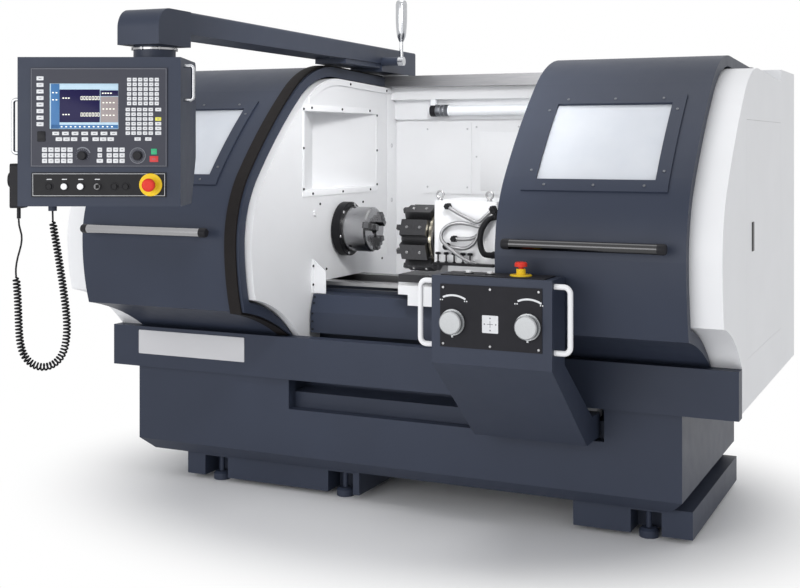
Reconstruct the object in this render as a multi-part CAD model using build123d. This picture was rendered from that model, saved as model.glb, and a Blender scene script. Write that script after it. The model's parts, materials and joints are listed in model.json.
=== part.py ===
from build123d import *
import math
import os

# A flat-bed turning lathe with sliding barrel doors, a control box on its carriage and a swinging pendant.
# Millimetres. X runs along the spindle, Y to the rear, Z up. The origin is on the floor under the spindle.

# Fits shared by all pieces
overrun = 20.0
seat_gap = 0.3
lay_gap = 0.2
running_gap = 0.05
edge_share = 0.25
round_share = 0.5
bevel_share = 0.15

# Stand, feet and levelling pads
pad_radius = 39.0
pad_height = 37.0
pad_stud_radius = 12.0
pad_stud_length = 76.0
pad_front = 320.0
pad_rear = 520.0
left_pad_inset = 371.0
middle_pad_place = -295.0
right_pad_inset = 162.0
pad_pocket = 62.0
foot_lift = 20.0
foot_height = 110.0
foot_front = 370.0
foot_rear = 590.0
left_foot_inset = 212.0
left_foot_end = -202.0
right_foot_length = 483.0
right_foot_past = 22.0
stand_left_inset = 133.0
stand_right_inset = 217.0
stand_front = 460.0
stand_rear = 650.0
stand_height = 394.0
stand_chamfer = 54.0
deck_rise = 16.0

# Slot under the sill and the channel behind it, where the carriage link runs
slot_left = 507.0
slot_right = 926.0
slot_height = 134.0
slot_depth = 60.0
channel_depth = 180.0
channel_height = 66.0

# Front sill
sill_length = 2900.0
sill_front = 480.0
sill_depth = 65.0
sill_height = 187.0

# Bed with two ways
spindle_drop = 230.0
bed_left_inset = 150.0
bed_right_inset = 230.0
bed_height = 393.0
bed_front = 200.0
bed_rear = 215.0
bed_foot_spread = 22.0
bed_foot_height = 30.0
way_width = 75.0
way_lip = 16.0
bed_trough = 150.0

# Bent sheet over the feed screw, in front of the bed
guard_wall_gap = 10.0
guard_right_inset = 240.0
guard_reach = 128.0
guard_slant = 26.0
guard_top_drop = 33.0
guard_crease_drop = 78.0
guard_skirt = 92.0
guard_sheet = 4.0

# Barrel section of the doors: reach is in front of the spindle axis
crease_back = 44.0
crease_rise = 151.0
belly_reach = 866.0
belly_rise = 285.0
shoulder_back = 106.0
shoulder_rise = 295.0
brow_back = 476.0
brow_rise = 364.0
roof_rise = 122.0
roof_fall = 21.0
roof_flat = 470.0
cove_reach = 432.0
cove_tilt = 11.0
door_roof_rear = 520.0
door_wall = 45.0
door_skin = 4.0
door_edge = 40.0
door_lip = 12.0
left_door_inset = 130.0
left_door_end = -508.0
right_door_start = 620.0
right_door_inset = 115.0

# Door windows, seals and pull tubes
glass_height = 400.0
glass_thickness = 6.0
glass_lap = 15.0
glass_rise = 185.0
window_border = 50.0
window_border_rise = 7.0
left_glass_margins = (151.0, 206.0)
right_glass_margins = (130.0, 130.0)
seal_width = 54.0
seal_inset = 12.0
seal_thickness = 9.0
pull_radius = 19.0
pull_rise = 50.0
pull_gap = 38.0
pull_post_radius = 11.0
pull_post_inset = 45.0
left_pull_margins = (54.0, 128.0)
right_pull_margins = (56.0, 63.0)

# Fixed covers under the doors
cover_gap = 10.0
cover_sheet = 6.0
cover_lip = 17.0
end_wall = 10.0
cover_rear = 610.0
right_cover_left = 640.0
service_front = 310.0
service_rear = 596.0
service_bottom = 190.0
service_height = 930.0
service_sheet = 6.0
service_rebate = 14.0
service_gap = 0.8
latch_inset = 118.0
latch_width = 42.0
latch_height = 115.0
latch_rise = 410.0
latch_proud = 3.0
latch_gap = 0.5

# Wall of the work area beside the headstock, with its angled pan
wall_front = 480.0
wall_thickness = 12.0
wall_hole_radius = 72.0
wall_gap = 0.6
pan_clear = 23.0
pan_rear = 359.0
pan_bottom = 191.0
pan_height = 360.0
pan_depth = 105.0
pan_fold = 262.0
pan_sheet = 4.0
wall_boss_radius = 13.0
wall_boss_reach = 272.0
wall_boss_rise = 87.0
wall_boss_length = 6.0

# Rear wall, top beam, door rail and work lamp
rear_sheet = 10.0
beam_depth = 62.0
beam_height = 62.0
band_depth = 20.0
band_height = 100.0
panel_rise = 5.0
panel_width = 266.0
panel_height = 366.0
panel_left = 323.0
panel_bottom = 770.0
panel_gap = 6.0
rail_front = 523.0
rail_depth = 40.0
rail_height = 60.0
rail_ledge = 43.0
lamp_left = 258.0
lamp_length = 630.0
lamp_radius = 25.0
lamp_cap_radius = 29.0
lamp_cap_length = 98.0
lamp_drop = 28.0
lamp_bracket = 26.0

# Rear cabinet and the post that carries the pendant arm
cabinet_left_inset = 450.0
cabinet_depth = 430.0
cabinet_step = 50.0
cabinet_door_margin = 45.0
cabinet_door_rise = 5.0
cabinet_door_gap = 12.0
post_radius = 75.0
post_height = 24.0
post_pin_radius = 30.0
post_pin_length = 62.0
arm_pivot_left = 535.0
arm_pivot_rear = 693.0

# Headstock, spindle and chuck
headstock_inset = 160.0
headstock_right = 522.0
headstock_front = 205.0
headstock_rear = 215.0
headstock_height = 400.0
headstock_fillet = 40.0
spindle_radius = 60.0
spindle_bore = 31.0
spindle_tail = 60.0
spindle_collar_radius = 90.0
spindle_collar_length = 14.0
backplate_radius = 127.0
backplate_gap = 8.0
backplate_length = 42.0
chuck_radius = 105.0
chuck_length = 120.0
chuck_bore = 26.0
chuck_rim = 8.0
chuck_key_radius = 9.0
chuck_key_depth = 14.0
chuck_key_inset = 30.0
jaw_count = 3
jaw_turn = 75.0
jaw_width = 28.0
jaw_length = 64.0
jaw_inner = 34.0
jaw_seat = 14.0
jaw_height = 38.0
jaw_step_shares = (0.36, 0.68)
jaw_side_gap = 0.4

# Carriage: saddle, skirt and link
saddle_left = -62.0
saddle_right = 560.0
saddle_height = 56.0
saddle_front = 262.0
saddle_rear = 275.0
wing_over = 37.0
wing_thickness = 40.0
wing_clear = 36.0
skirt_thickness = 22.0
link_left = 440.0
link_right = 886.0
link_lift = 10.0
link_height = 48.0
saddle_step = 46.0

# Control box on the carriage
box_left = 434.0
box_right = 898.0
box_gap = 16.0
box_depth = 148.0
box_rise = 371.0
box_height = 322.0
chin_front = 600.0
chin_bottom = 402.0
chin_back = 600.0
chin_top = 500.0
chin_fillet = 6.0
chin_shift = 70.0
panel_sheet = 4.0
front_panel_margin = 36.0
front_panel_low = 62.0
front_panel_top = 30.0
top_panel_margin = 30.0
top_panel_edge = 14.0
knob_radius = 43.0
knob_length = 34.0
knob_skirt_radius = 48.0
knob_skirt_length = 8.0
knob_stem_radius = 8.0
knob_stem_length = 24.0
knob_spread = 290.0
knob_drop = 168.0
knob_pointer = 7.0
push_radius = 11.0
push_height = 7.0
push_travel_room = 4.0
push_stem_radius = 5.0
push_stem_length = 16.0
push_spread = 84.0
push_left = 118.0
stop_left = 322.0
stop_ring_radius = 40.0
stop_ring_height = 5.0
stop_collar_radius = 17.0
stop_collar_height = 26.0
stop_head_radius = 23.0
stop_head_height = 17.0
stop_stem_radius = 9.0
stop_stem_length = 30.0
stop_lift = 8.0
grip_radius = 10.0
grip_reach = 58.0
grip_bend = 24.0
grip_low = 62.0
grip_span = 236.0
grip_back = 30.0

# Cross slide and turret
slide_left = 172.0
slide_right = 450.0
slide_front = 255.0
slide_rear = 245.0
slide_height = 64.0
turret_axis_front = 280.0
turret_rise = -7.0
turret_disc_left = 12.0
turret_disc_length = 148.0
turret_disc_radius = 104.0
turret_sides = 8
turret_hub_radius = 62.0
turret_hub_length = 14.0
turret_shaft_radius = 40.0
turret_shaft_length = 60.0
housing_left = 168.0
housing_length = 286.0
housing_front = 400.0
housing_depth = 330.0
housing_height = 272.0
housing_fillet = 10.0
tool_width = 70.0
tool_depth = 120.0
tool_height = 36.0
tool_bar = 20.0
tool_bar_reach = 14.0
tool_bar_inset = 4.0
hose_radius = 7.5
hose_fitting_radius = 11.0
hose_fitting_length = 26.0
hose_clear = 34.0
hose_bend = 30.0
hose_start_shares = ((0.18, 0.78), (0.34, 0.47))
hose_turn_shares = ((0.62, 0.56), (0.66, 0.66))
hose_end_shares = ((0.92, 0.82), (0.80, 0.30))

# Pendant arm
arm_turn = 2.94
arm_length = 2259.0
arm_width = 172.0
arm_height = 82.0
arm_tail = 86.0
arm_edge = 10.0
arm_lift = 0.3
arm_hub_depth = 64.0
arm_hub_drop = 38.0
head_length = 210.0
head_height = 130.0
head_edge = 70.0
arm_box_start = 372.0
arm_box_length = 414.0
arm_box_width = 160.0
arm_box_height = 22.0
lever_boss_radius = 22.0
lever_boss_length = 84.0
lever_reach = 355.0
lever_rise = 10.0
lever_hub_length = 28.0
lever_pin_radius = 9.0
lever_pin_length = 30.0
lever_arm_radius = 9.0
lever_length = 303.0
lever_grip_radius = 20.0
lever_grip_length = 178.0

# Pendant
pendant_turn = 25.1
pendant_width = 571.0
pendant_height = 523.0
pendant_depth = 320.0
pendant_edge = 14.0
pendant_slant_rise = 166.0
pendant_slant_depth = 95.0
pendant_off_axis = 171.0
pendant_face = 118.0
swivel_radius = 75.0
swivel_height = 46.0
swivel_pin_radius = 28.0
swivel_pin_length = 70.0
bezel_width = 478.0
bezel_height = 347.0
bezel_drop = 38.0
bezel_sheet = 5.0
screen_width = 242.0
screen_height = 161.0
screen_left = 52.0
screen_drop = 54.0
screen_depth = 3.0
strip_width = 470.0
strip_height = 86.0
strip_drop = 404.0
switch_drop = 453.0
dial_drop = 345.0
dial_radius = 15.0
dial_height = 16.0
feed_dial_place = -57.0
spindle_dial_place = 136.0
key_place = -5.0
key_radius = 11.0
key_blade = 14.0
key_sheet = 4.5
pendant_push_places = (-120.0, -63.0)
cap_places = (-173.0, 55.0, 95.0)
cap_radius = 9.0
cap_height = 7.0
pendant_stop_place = 182.0
pendant_stop_drop = 447.0
pendant_grip_reach = 34.0
pendant_grip_span = 190.0
pendant_grip_radius = 7.0
pendant_grip_bend = 12.0
pendant_grip_drop = 147.0
pendant_short_span = 120.0
pendant_short_drop = 28.0
pendant_grip_back = 60.0

# Handheld pulse unit with its curly cord
handheld_thickness = 42.0
handheld_width = 78.0
handheld_height = 158.0
handheld_drop = 374.0
handheld_front = 74.0
handheld_edge = 10.0
handheld_dial_radius = 27.0
handheld_dial_height = 12.0
handheld_dial_rise = 100.0
handheld_relief_radius = 7.0
handheld_relief_length = 38.0
gland_place = 357.0
gland_radius = 15.0
gland_length = 20.0
cord_depth = 35.0
coil_radius = 15.0
tail_radius = 3.5
# Points of the cord seen from the front of the pendant: sideways from the swivel axis, height
coil_route = (
    (-357.0, 1327.0), (-357.0, 1283.0), (-346.0, 1225.0), (-334.0, 1150.0), (-322.0, 1072.0), (-311.0, 992.0),
    (-305.0, 925.0), (-307.0, 867.0), (-320.0, 815.0), (-350.0, 780.0), (-391.0, 767.0), (-433.0, 780.0),
    (-463.0, 815.0), (-475.0, 868.0), (-478.0, 932.0), (-481.0, 1015.0), (-487.0, 1093.0),
)
tail_route = (
    (-487.0, 1093.0), (-489.0, 1119.0), (-482.0, 1162.0), (-468.0, 1205.0), (-466.0, 1243.0),
    (-478.0, 1274.0), (-478.0, 1300.0),
)
bend_share = 0.45

# Levels and places that follow from the sizes above
stand_bottom = foot_lift + foot_height
stand_top = stand_bottom + stand_height
deck_top = stand_top + deck_rise
sill_top = stand_top + sill_height
crease_reach = belly_reach - crease_back
shoulder_reach = belly_reach - shoulder_back
brow_reach = belly_reach - brow_back
pan_front = brow_reach - pan_clear
box_front = belly_reach + box_gap + box_depth
box_bottom = sill_top + box_rise - box_height
wing_reach = bed_front + guard_reach + wing_over
sill_rear = sill_depth - sill_front
bed_top = deck_top + bed_height
spindle_height = bed_top + spindle_drop
half_sill = sill_length / 2
stand_left = half_sill - stand_left_inset
stand_right = half_sill - stand_right_inset
left_foot = (left_foot_inset - stand_left, left_foot_end)
right_foot = (stand_right + right_foot_past - right_foot_length, stand_right + right_foot_past)
pad_columns = (left_pad_inset - stand_left, middle_pad_place, stand_right - right_pad_inset)
bed_left = half_sill - bed_left_inset
bed_right = half_sill - bed_right_inset
guard_left = wall_front - guard_wall_gap
guard_right = half_sill - guard_right_inset
headstock_left = half_sill - headstock_inset
cabinet_left = half_sill - cabinet_left_inset
left_door_span = (left_door_inset - half_sill, left_door_end)
right_door_span = (right_door_start, half_sill - right_door_inset)
roof_top = sill_top + crease_rise + belly_rise + shoulder_rise + brow_rise + roof_rise
cover_inset = door_wall + cover_gap
cover_roof = roof_top - cover_inset - roof_fall
cabinet_top = cover_roof + cabinet_step
cabinet_rear = cover_rear + cabinet_depth
arm_hub_bottom = cabinet_top + post_height + arm_lift
arm_bottom = arm_hub_bottom + arm_hub_drop
arm_top = arm_bottom + arm_height
head_bottom = arm_top - head_height
pendant_top = head_bottom - seat_gap - swivel_height
pendant_bottom = pendant_top - pendant_height
chuck_back = backplate_gap + backplate_length - wall_front
chuck_face = chuck_back + chuck_length
turret_height = spindle_height + turret_rise
chin_link = stand_front - slot_depth + overrun


def span_box(x_span, y_span, z_span):
    spans = (x_span, y_span, z_span)
    sizes = [high - low for low, high in spans]
    middles = [(low + high) / 2 for low, high in spans]
    return Pos(*middles) * Box(*sizes)


def round_x(radius, x_low, x_high, y=0.0, z=0.0):
    bar = Cylinder(radius, x_high - x_low, align=(Align.CENTER, Align.CENTER, Align.MIN))
    return Pos(x_low, y, z) * Rot(0, 90, 0) * bar


def round_y(radius, y_low, y_high, x=0.0, z=0.0):
    bar = Cylinder(radius, y_high - y_low, align=(Align.CENTER, Align.CENTER, Align.MIN))
    return Pos(x, y_low, z) * Rot(-90, 0, 0) * bar


def round_z(radius, z_low, z_high, x=0.0, y=0.0):
    bar = Cylinder(radius, z_high - z_low, align=(Align.CENTER, Align.CENTER, Align.MIN))
    return Pos(x, y, z_low) * bar


def along_x(edges, x_low, x_high):
    # A closed outline in Y and Z, carried along X
    face = Plane.YZ.offset(x_low) * make_face(edges)
    return extrude(face, amount=x_high - x_low, dir=(1, 0, 0))


def outline(*points):
    return Polyline(*points, close=True).edges()


def mirrored(shape):
    return mirror(shape, about=Plane.YZ)


# Barrel section

def barrel_points(inset):
    # The corner points of the barrel section, moved inwards along their normals
    crease = Vector(-crease_reach, sill_top + crease_rise)
    belly = Vector(-belly_reach, crease.Y + belly_rise)
    shoulder = Vector(-shoulder_reach, belly.Y + shoulder_rise)
    brow = Vector(-brow_reach, shoulder.Y + brow_rise)
    low_turn = 2 * math.atan2(crease.X - belly.X, belly.Y - crease.Y)
    shoulder_angle = math.pi / 2 - 2 * math.atan2(shoulder.X - belly.X, shoulder.Y - belly.Y)
    chord_angle = math.atan2(brow.Y - shoulder.Y, brow.X - shoulder.X)
    brow_angle = 2 * chord_angle - shoulder_angle
    roof = Vector(brow.X + (roof_top - brow.Y) / math.tan(brow_angle / 2), roof_top)
    cove_angle = math.radians(cove_tilt)
    face_normal = Vector(math.cos(low_turn), math.sin(low_turn))
    cove_normal = Vector(math.sin(cove_angle), math.cos(cove_angle))
    corner = (face_normal + cove_normal) / (1 + face_normal.dot(cove_normal))
    return {
        "crease": crease + corner * inset,
        "belly": belly + Vector(inset, 0),
        "shoulder": shoulder + Vector(math.sin(shoulder_angle), -math.cos(shoulder_angle)) * inset,
        "brow": brow + Vector(math.sin(brow_angle), -math.cos(brow_angle)) * inset,
        "roof": roof - Vector(0, inset),
        "shoulder_way": Vector(math.cos(shoulder_angle), math.sin(shoulder_angle)),
        "brow_way": Vector(math.cos(brow_angle), math.sin(brow_angle)),
        "cove_way": Vector(math.cos(cove_angle), -math.sin(cove_angle)),
    }


def barrel_arcs(points):
    # Tangent arcs from the lower crease over the belly, shoulder and brow to the roof
    return [
        TangentArc(points["belly"], points["crease"], tangent=(0, -1)),
        TangentArc(points["belly"], points["shoulder"], tangent=(0, 1)),
        TangentArc(points["shoulder"], points["brow"], tangent=points["shoulder_way"]),
        TangentArc(points["brow"], points["roof"], tangent=points["brow_way"]),
    ]


def roof_back(points, rear):
    # A point on the roof, which falls a little towards the rear
    peak = points["roof"]
    return Vector(rear, peak.Y - roof_fall * (rear - peak.X) / (roof_flat - peak.X))


def barrel_chain(inset, lip, rear):
    # The whole section line, from the sill up over the barrel to the rear of the roof
    points = barrel_points(inset)
    foot = Vector(lip - cove_reach, sill_top + seat_gap)
    back = roof_back(points, rear)
    cove = TangentArc(points["crease"], foot, tangent=points["cove_way"])
    edges = [cove] + barrel_arcs(points) + [Line(points["roof"], back)]
    return edges, foot, back


def barrel_slab(outer, inner, lip_outer, lip_inner, rear, x_span):
    # A curved wall between two section lines
    outside, outer_foot, outer_back = barrel_chain(outer, lip_outer, rear)
    inside, inner_foot, inner_back = barrel_chain(inner, lip_inner, rear)
    ends = [Line(outer_foot, inner_foot), Line(outer_back, inner_back)]
    return along_x(outside + inside + ends, *x_span)


def barrel_pocket(x_span):
    # The hollow inside a door, behind its skin and between its folded edges
    outer = barrel_points(door_skin)
    inner = barrel_points(door_wall + overrun)
    rear = door_roof_rear - door_edge
    outer_back = roof_back(outer, rear)
    inner_back = roof_back(inner, rear)
    edges = barrel_arcs(outer) + barrel_arcs(inner)
    edges += [Line(outer["roof"], outer_back), Line(inner["roof"], inner_back)]
    edges += [Line(outer["crease"], inner["crease"]), Line(outer_back, inner_back)]
    return along_x(edges, x_span[0] + door_edge, x_span[1] - door_edge)


def window_block(x_span, border):
    # A block square to the window, which spans the door's wall
    points = barrel_points(0.0)
    low = points["shoulder"]
    way = (points["brow"] - low).normalized()
    normal = Vector(-way.Y, way.X)
    middle = low + way * glass_rise
    plane = Plane(
        origin=((x_span[0] + x_span[1]) / 2, middle.X, middle.Y),
        x_dir=(1, 0, 0),
        z_dir=(0, normal.X, normal.Y),
    )
    width = x_span[1] - x_span[0] + 2 * border
    height = glass_height + 2 * border
    return plane * Box(width, height, 2 * (door_wall + overrun))


def within(span, margins):
    return (span[0] + margins[0], span[1] - margins[1])


left_glass = within(left_door_span, left_glass_margins)
right_glass = within(right_door_span, right_glass_margins)


def sliding_door(x_span, glass):
    # Skin with folded edges, a raised window border and the window's opening
    wall = barrel_slab(0.0, door_wall, 0.0, door_lip, door_roof_rear, x_span)
    shell = wall - barrel_pocket(x_span)
    raised = barrel_slab(-window_border_rise, door_skin / 2, 0.0, door_lip / 2, door_roof_rear, x_span)
    frame = raised & window_block(glass, window_border)
    return shell + frame - window_block(glass, 0.0)


def door_window(glass):
    outer = door_skin + lay_gap
    pane_span = (glass[0] - glass_lap, glass[1] + glass_lap)
    pane = barrel_slab(outer, outer + glass_thickness, door_lip / 2, door_lip, door_roof_rear, pane_span)
    return pane & window_block(glass, glass_lap)


def door_seal():
    end = left_door_span[1] - seal_inset
    span = (end - seal_width, end)
    outer = -lay_gap - seal_thickness
    return barrel_slab(outer, -lay_gap, outer, -lay_gap, door_roof_rear, span)


def door_pull(door_span, margins):
    # A round pull tube on two posts that end on the door's skin
    height = sill_top + crease_rise + belly_rise + pull_rise
    axis = -belly_reach - pull_gap - pull_radius
    x_low, x_high = within(door_span, margins)
    tube = round_x(pull_radius, x_low, x_high, axis, height)
    posts = [
        round_y(pull_post_radius, axis, -belly_reach + overrun, place, height)
        for place in (x_low + pull_post_inset, x_high - pull_post_inset)
    ]
    skin = barrel_slab(-lay_gap, door_wall, 0.0, door_lip, door_roof_rear, (x_low, x_high))
    return tube + posts - skin


# Stand, sill and bed

def pad_places():
    return [(x, y) for x in pad_columns for y in (-pad_front, pad_rear)]


def foot_beam(x_span):
    return span_box(x_span, (-foot_front, foot_rear), (foot_lift, stand_bottom))


def base_stand():
    body = span_box((-stand_left, stand_right), (-stand_front, stand_rear), (stand_bottom, stand_top))
    body = chamfer(body.faces().sort_by(Axis.Z)[0].edges(), stand_chamfer)
    front = channel_depth + slot_depth - stand_front
    body += span_box((-stand_left, stand_right), (front, stand_rear), (stand_top, deck_top))
    slot_bottom = stand_top - slot_height
    body -= span_box(
        (-slot_left, slot_right),
        (-stand_front - overrun, slot_depth - stand_front),
        (slot_bottom, stand_top + overrun),
    )
    body -= span_box(
        (-slot_left - overrun, slot_right + overrun),
        (slot_depth - stand_front, front),
        (stand_top - channel_height, stand_top + overrun),
    )
    body += foot_beam(left_foot) + foot_beam(right_foot)
    pocket_top = pad_height + pad_stud_length
    for x, y in pad_places():
        body -= span_box((x - pad_pocket, x + pad_pocket), (y - pad_pocket, y + pad_pocket), (0, pocket_top))
    return body


def levelling_pads():
    pads = []
    for x, y in pad_places():
        disc = round_z(pad_radius, 0, pad_height, x, y)
        disc = chamfer(disc.edges().sort_by(Axis.Z)[-1], pad_height * edge_share)
        pads.append(disc + round_z(pad_stud_radius, pad_height / 2, pad_height + pad_stud_length, x, y))
    return Compound(children=pads)


def front_sill():
    return span_box((-half_sill, half_sill), (-sill_front, sill_rear), (stand_top, sill_top))


def bed():
    foot_front = -bed_front - bed_foot_spread
    foot_rear = bed_rear + bed_foot_spread
    foot_top = deck_top + bed_foot_height
    lip_low = bed_top - 2 * way_lip
    section = outline(
        (foot_front, deck_top), (foot_rear, deck_top), (foot_rear, foot_top), (bed_rear - way_lip, foot_top),
        (bed_rear - way_lip, lip_low), (bed_rear, bed_top - way_lip), (bed_rear, bed_top),
        (bed_rear - way_width, bed_top), (bed_rear - way_width, bed_top - bed_trough),
        (way_width - bed_front, bed_top - bed_trough), (way_width - bed_front, bed_top),
        (-bed_front, bed_top), (-bed_front, bed_top - way_lip), (way_lip - bed_front, lip_low),
        (way_lip - bed_front, foot_top), (foot_front, foot_top),
    )
    return along_x(section, -bed_left, bed_right)


def screw_guard():
    root = way_lip - bed_front
    top = bed_top - guard_top_drop - way_lip
    crease = top - guard_crease_drop
    bottom = crease - guard_skirt
    front = -bed_front - guard_reach
    shelf = front + guard_slant
    section = outline(
        (root, top), (shelf, top), (front, crease), (front, bottom), (front + guard_sheet, bottom),
        (front + guard_sheet, crease), (shelf + guard_sheet, top - guard_sheet), (root, top - guard_sheet),
    )
    return along_x(section, -guard_left, guard_right)


# Covers and walls

def cover_outline(inset, front, rear, bottom):
    points = barrel_points(inset)
    foot = Vector(front, sill_top + seat_gap)
    cove = TangentArc(points["crease"], foot, tangent=points["cove_way"])
    edges = [cove] + barrel_arcs(points)
    low_front = Vector(front, bottom)
    low_rear = Vector(rear, bottom)
    flat = roof_back(points, roof_flat)
    top_rear = Vector(rear, flat.Y)
    edges += [Line(foot, low_front), Line(low_front, low_rear), Line(low_rear, top_rear)]
    return edges + [Line(top_rear, flat), Line(flat, points["roof"])]


def cover_shell(x_low, x_high, hollow_low, hollow_high):
    # Sheet cover with a rear wall, open below, hollow between the two given places
    outer = cover_outline(cover_inset, cover_lip - cove_reach, cover_rear, deck_top)
    front = cover_lip - cove_reach + cover_sheet
    inner = cover_outline(cover_inset + cover_sheet, front, cover_rear - cover_sheet, deck_top - overrun)
    return along_x(outer, x_low, x_high) - along_x(inner, hollow_low, hollow_high)


def headstock_cover():
    inner_end = -wall_front - wall_thickness
    return cover_shell(-half_sill, inner_end, end_wall - half_sill, inner_end + overrun)


service_y = (-service_front, service_rear)
service_z = (deck_top + service_bottom, deck_top + service_bottom + service_height)
latch_y = (latch_inset - service_front, latch_inset - service_front + latch_width)
latch_z = (service_z[0] + latch_rise, service_z[0] + latch_rise + latch_height)


def grown(span, amount):
    return (span[0] - amount, span[1] + amount)


def right_cover():
    shell = cover_shell(right_cover_left, half_sill, right_cover_left - overrun, half_sill - end_wall)
    leaf = (half_sill - service_sheet - seat_gap, half_sill + overrun)
    opening = span_box(leaf, grown(service_y, service_gap), grown(service_z, service_gap))
    through = (half_sill - end_wall - overrun, half_sill)
    throat = span_box(through, grown(service_y, -service_rebate), grown(service_z, -service_rebate))
    return shell - opening - throat


def service_door():
    leaf = span_box((half_sill - service_sheet, half_sill), service_y, service_z)
    slot_x = (half_sill - service_sheet - overrun, half_sill + overrun)
    return leaf - span_box(slot_x, grown(latch_y, latch_gap), grown(latch_z, latch_gap))


def service_latch():
    return span_box((half_sill - service_sheet, half_sill + latch_proud), latch_y, latch_z)


def headstock_wall():
    face = -wall_front
    plate_x = (face - wall_thickness, face)
    edges = cover_outline(cover_inset, cover_lip - cove_reach, cover_rear, deck_top)
    plate = along_x(edges, *plate_x)
    bed_y = (-bed_front - bed_foot_spread - wall_gap, bed_rear + bed_foot_spread + wall_gap)
    plate -= span_box((face - overrun, face + overrun), bed_y, (deck_top - overrun, bed_top + wall_gap))
    plate -= round_x(wall_hole_radius, face - overrun, face + overrun, 0, spindle_height)
    pan_z = (spindle_height + pan_bottom, spindle_height + pan_bottom + pan_height)
    plate += pan_wedge(pan_sheet, pan_z)
    plate -= pan_wedge(0.0, pan_z) + span_box((face, face + overrun), (-pan_front, pan_rear), pan_z)
    boss = round_x(
        wall_boss_radius, face, face + wall_boss_length, -wall_boss_reach, spindle_height + wall_boss_rise
    )
    return plate + boss


def pan_wedge(sheet, z_span):
    # A wedge set into the wall, deepest at its fold
    face = -wall_front
    fold = (face - pan_depth - sheet, pan_fold - pan_front)
    corners = outline((face, -pan_front - sheet), fold, (face, pan_rear + sheet))
    wedge = extrude(make_face(corners), amount=z_span[1] - z_span[0] + 2 * sheet, dir=(0, 0, 1))
    return Pos(0, 0, z_span[0] - sheet) * wedge


def rear_wall():
    x_span = (-wall_front, right_cover_left)
    rear = cover_rear
    front = rear - rear_sheet
    wall = span_box(x_span, (front, rear), (deck_top, cover_roof))
    beam_low = cover_roof - beam_height
    wall += span_box(x_span, (front - beam_depth, front), (beam_low, cover_roof))
    wall += span_box(x_span, (front - band_depth, front), (beam_low - band_height, beam_low))
    panel_low = deck_top + panel_bottom
    for step in range(2):
        left = -panel_left + step * (panel_width + panel_gap)
        panel_x = (left, left + panel_width)
        panel_z = (panel_low, panel_low + panel_height)
        wall += span_box(panel_x, (front - panel_rise, front), panel_z)
    return wall


def top_rail():
    x_span = (left_door_span[0], right_door_span[1])
    rail = span_box(x_span, (rail_front, rail_front + rail_depth), (cover_roof, cover_roof + rail_height))
    ledge_top = roof_back(barrel_points(door_wall), door_roof_rear).Y - seat_gap
    return rail + span_box(x_span, (rail_front - rail_ledge, rail_front), (cover_roof, ledge_top))


def work_lamp():
    # A tube between two end caps, hung under the top beam by a bracket at each end
    y = cover_rear - rear_sheet - band_depth - seat_gap - lamp_cap_radius
    top = cover_roof - beam_height - lay_gap
    z = top - lamp_drop - lamp_cap_radius
    x_low = -lamp_left
    x_high = x_low + lamp_length
    lamp = round_x(lamp_radius, x_low, x_high, y, z)
    for low in (x_low, x_high - lamp_cap_length):
        lamp += round_x(lamp_cap_radius, low, low + lamp_cap_length, y, z)
        lamp += span_box(
            (low, low + lamp_bracket), (y - lamp_bracket / 2, y + lamp_bracket / 2), (z, top)
        )
    return lamp


def rear_cabinet():
    x_span = (-cabinet_left, half_sill)
    body = span_box(x_span, (cover_rear, cabinet_rear), (deck_top, cabinet_top))
    leaf_width = (half_sill + cabinet_left - 2 * cabinet_door_margin - cabinet_door_gap) / 2
    leaf_z = (deck_top + cabinet_door_margin, cabinet_top - cabinet_door_margin)
    for step in range(2):
        left = -cabinet_left + cabinet_door_margin + step * (leaf_width + cabinet_door_gap)
        body += span_box((left, left + leaf_width), (cabinet_rear, cabinet_rear + cabinet_door_rise), leaf_z)
    post_top = cabinet_top + post_height
    body += round_z(post_radius, cabinet_top, post_top, -arm_pivot_left, arm_pivot_rear)
    pin_top = post_top + post_pin_length
    return body + round_z(post_pin_radius, post_top, pin_top, -arm_pivot_left, arm_pivot_rear)


# Headstock, spindle and chuck

def headstock():
    z_span = (bed_top, bed_top + headstock_height)
    body = span_box((-headstock_left, -headstock_right), (-headstock_front, headstock_rear), z_span)
    upper = body.faces().sort_by(Axis.Z)[-1].edges().filter_by(Axis.X)
    body = fillet(upper, headstock_fillet)
    bore = spindle_radius + running_gap
    return body - round_x(bore, -headstock_left - overrun, overrun - headstock_right, 0, spindle_height)


def spindle():
    tail = -headstock_left - spindle_tail
    nose = backplate_gap - wall_front
    shaft = round_x(spindle_radius, tail, nose, 0, spindle_height)
    collar_x = (-headstock_left - spindle_collar_length - seat_gap, -headstock_left - seat_gap)
    shaft += round_x(spindle_collar_radius, *collar_x, 0, spindle_height)
    return shaft - round_x(spindle_bore, tail - overrun, nose + overrun, 0, spindle_height)


def chuck_backplate():
    nose = backplate_gap - wall_front
    plate = round_x(backplate_radius, nose, chuck_back, 0, spindle_height)
    plate = chamfer(plate.edges().sort_by(Axis.X)[-1], chuck_rim * round_share)
    return plate - round_x(spindle_bore, nose - overrun, chuck_back + overrun, 0, spindle_height)


def jaw_place(step):
    turn = jaw_turn + step * 360 / jaw_count
    return Pos(0, 0, spindle_height) * Rot(turn, 0, 0)


def chuck_body():
    body = round_x(chuck_radius, chuck_back, chuck_face)
    body = chamfer(body.edges().group_by(Axis.X)[-1], chuck_rim)
    body -= round_x(chuck_bore, chuck_back - overrun, chuck_face + overrun)
    body = Pos(0, 0, spindle_height) * body
    slot_half = jaw_width / 2 + jaw_side_gap
    slot = span_box(
        (chuck_face - jaw_seat, chuck_face + overrun), (-slot_half, slot_half), (0, chuck_radius + overrun)
    )
    key_x = chuck_back + chuck_key_inset
    socket = round_z(chuck_key_radius, chuck_radius - chuck_key_depth, chuck_radius + overrun, key_x, 0)
    half_turn = 180 / jaw_count
    for step in range(jaw_count):
        body -= jaw_place(step) * slot
        body -= jaw_place(step) * Rot(half_turn, 0, 0) * socket
    return body


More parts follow.
